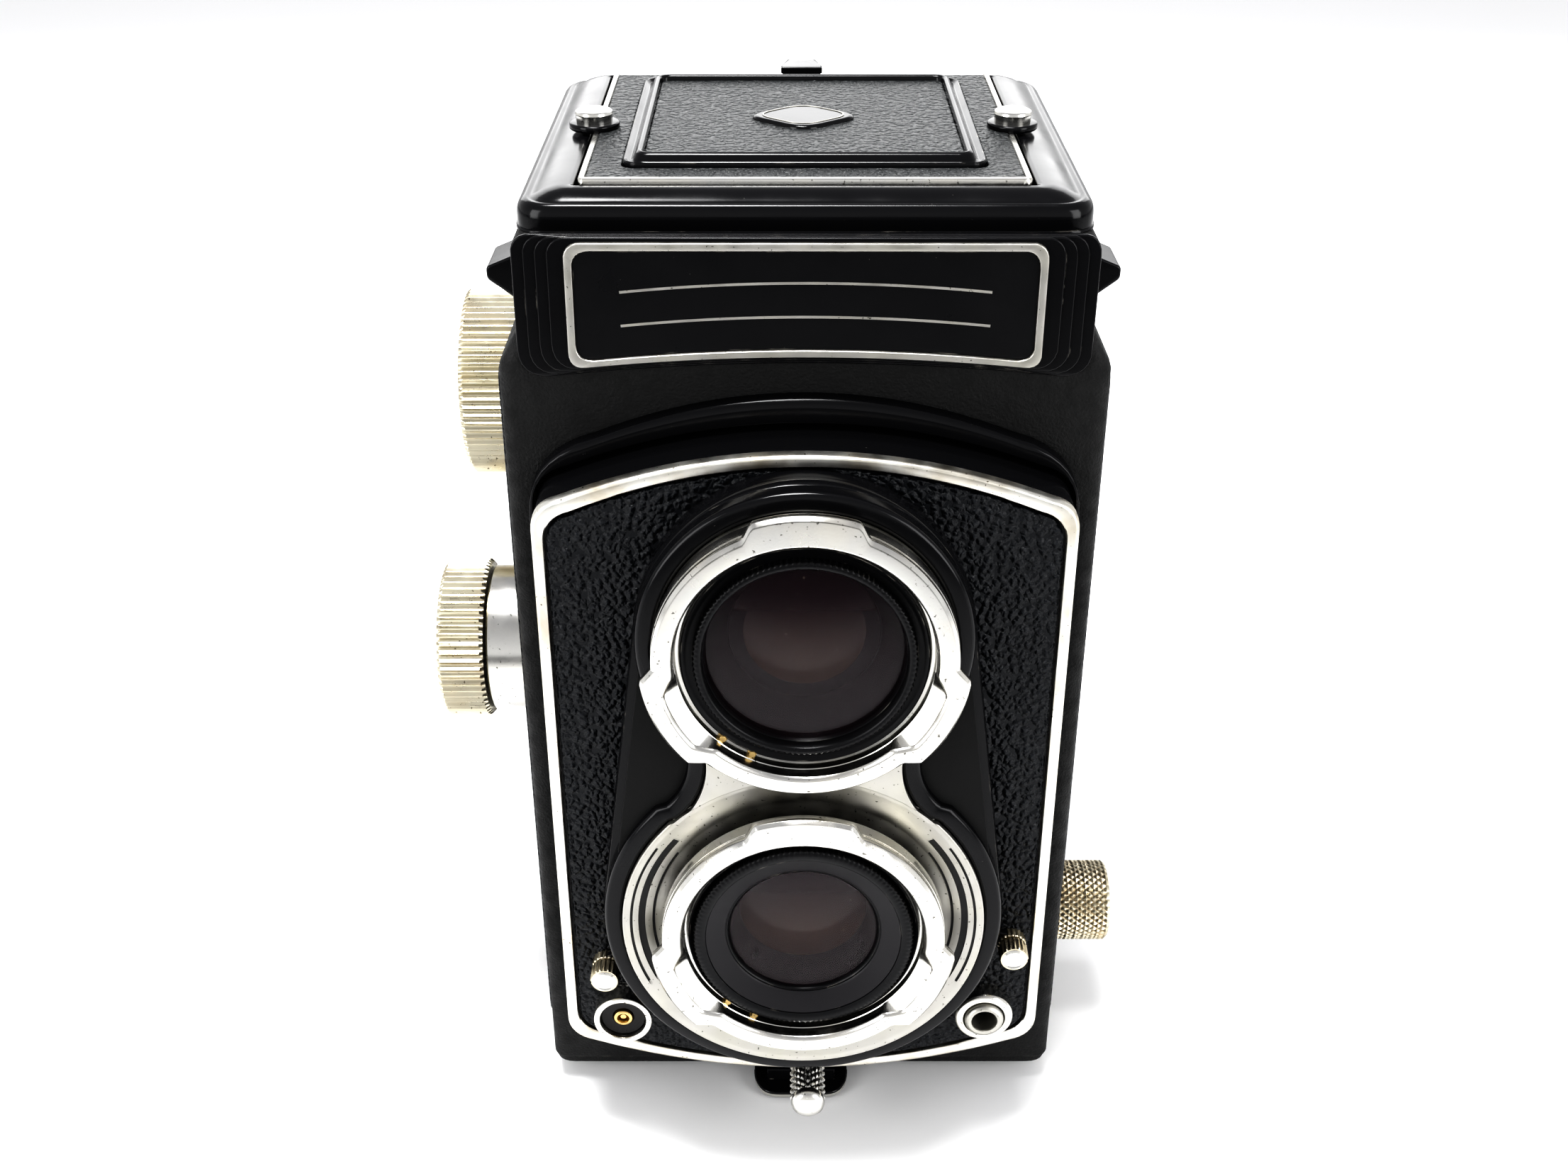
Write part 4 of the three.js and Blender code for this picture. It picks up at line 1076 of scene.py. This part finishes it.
def make_door():
    panel = plate(rounded_box(-36.7, 36.7, 2.2, 118.5, 3), [], 73.3, 77, "Y", 0.7, 3)
    floor = plate(rounded_box(-36.7, 36.7, 1, 76.9, 3), [circle(7.3, 0, 42)], 2.2, 3.7, "Z", 0.4)
    barrel = rod(1.7, -22, 22, 0.3)
    bridge = block(-22, 22, 73.6, 76.8, 118, 121, 0.3)
    piece("door_shell", [panel, floor, bridge, turned(barrel, "X", (75.2, 121), 32)], "crinkle", "door",
          ["back_door"])
    feet = [turned([(0, 0), (1.9, 0), (2.5, 0.3), (2.8, 0.9), (2.8, 2.4), (0, 2.4)], "Z", (x, y), 40)
            for x in (-30, 30) for y in (8, 69)]
    piece("door_feet", feet, "gloss", "door", [], 50)
    skin = plate(rounded_box(-33, 33, 8, 114, 3), [], 76.8, 77.8, "Y", 0.35)
    piece("door_skin", skin, "leather", "door", ["door_leather"])
    for side, x0 in (("left", -27), ("right", 22.4)):
        knuckle = rod(1.7, x0, x0 + 4.6, 0.3)
        web = block(x0 + 0.1, x0 + 4.5, 72.6, 75.2, 121.1, 122.6, 0.2)
        piece(f"hinge_{side}", [turned(knuckle, "X", (75.2, 121), 32), web], "gloss", "root",
              [f"hinge_bracket_{side}"])
    back = plate(rounded_box(-30.5, 30.5, 13, 72, 2), [], 67.2, 68.6, "Y", 0.3)
    posts = [turned(rod(1.5, 68.5, 73.2, 0.2), "Y", (x, z), 32)
             for x in (-24, 24) for z in (20, 65)]
    piece("film_pressure_plate", [back, *posts], "dark", "door", ["pressure_plate"])
    tab = fillet([(-6.9, 7.4), (-6.9, -1.5), (-5.2, -4.5), (5.2, -4.5), (6.9, -1.5), (6.9, 7.4)], 2.0, 6)
    hook = block(-5, 5, -1.7, -0.7, 1.3, 3.4, 0.2)
    piece("latch_tab", [plate(tab, [], 0.4, 1.5, "Z", 0.3), hook], "gloss", "latch", ["door_latch"])
    edge = [(u, v) for u, v in tab if v < 1]
    lip = [(-0.1, 0.62), (0.06, 0.7), (0.06, 1.2), (-0.1, 1.28)]
    piece("latch_edge", rail(edge, [(-o, h) for o, h in lip], upright), "nickel", "latch")


def make_fittings():
    thread = [(6.3, 3.9), (3.4, 3.9)]
    for i in range(5):
        z = 3.7 - i * 0.45
        thread += [(3.2, z), (3.45, z - 0.22)]
    thread += [(3.6, 1.3), (3.8, 1.2), (6.3, 1.2), (6.6, 1.5), (6.6, 3.9)]
    piece("tripod_socket", turned(thread, "Z", (0, 42), 64), "nickel", "root", ["tripod_bush"])
    for side, s in (("left", -1), ("right", 1)):
        points = [(36.4, 114.6), (40.6, 117.8), (40.6, 119.4), (33.9, 122.2), (33.9, 119)]
        wedge = plate(fillet([(s * x, z) for x, z in points], 0.5), [], 21, 29, "Y", 0.3)
        piece(f"strap_lug_body_{side}", wedge, "gloss", "root", [f"strap_lug_{side}"])
    for name, z, end in (("lower", 9.7, 31), ("upper", 75.5, 28.5)):
        roller = [(0, -32.8), (1, -32.8), (1, -end), (1.9, -end), (2.1, -end + 0.2), (2.1, end - 0.2),
                  (1.9, end), (1, end), (1, 32.8), (0, 32.8)]
        piece(f"roller_{name}", turned(roller, "X", (63.6, z), 40), "nickel", f"roller_{name}",
              [f"film_roller_{name}"])


def finish_cad_nodes():
    """Better materials for the CAD nodes that stay in view."""
    finishes = {
        "light_trap": "cavity", "mirror": "mirror", "mirror_plate": "cavity", "focusing_screen": "ground",
        "film_gate": "cavity", "shutter_blades": "blades", "aperture_iris": "blades",
    }
    for name, key in finishes.items():
        for material_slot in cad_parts[name].material_slots:
            material_slot.material = M[key]


make_camera()
make_studio()
make_body()
make_side_leathers()
make_name_plate()
make_board()
make_shutter()
make_bayonet("viewing_bayonet_ring", VIEWING_Z)
make_bayonet("taking_bayonet_ring", TAKING_Z)
make_viewing_lens()
make_taking_lens()
make_sockets()
make_levers()
make_knobs()
make_hood_rim()
make_lid()
make_hood_panels()
make_door()
make_fittings()
finish_cad_nodes()
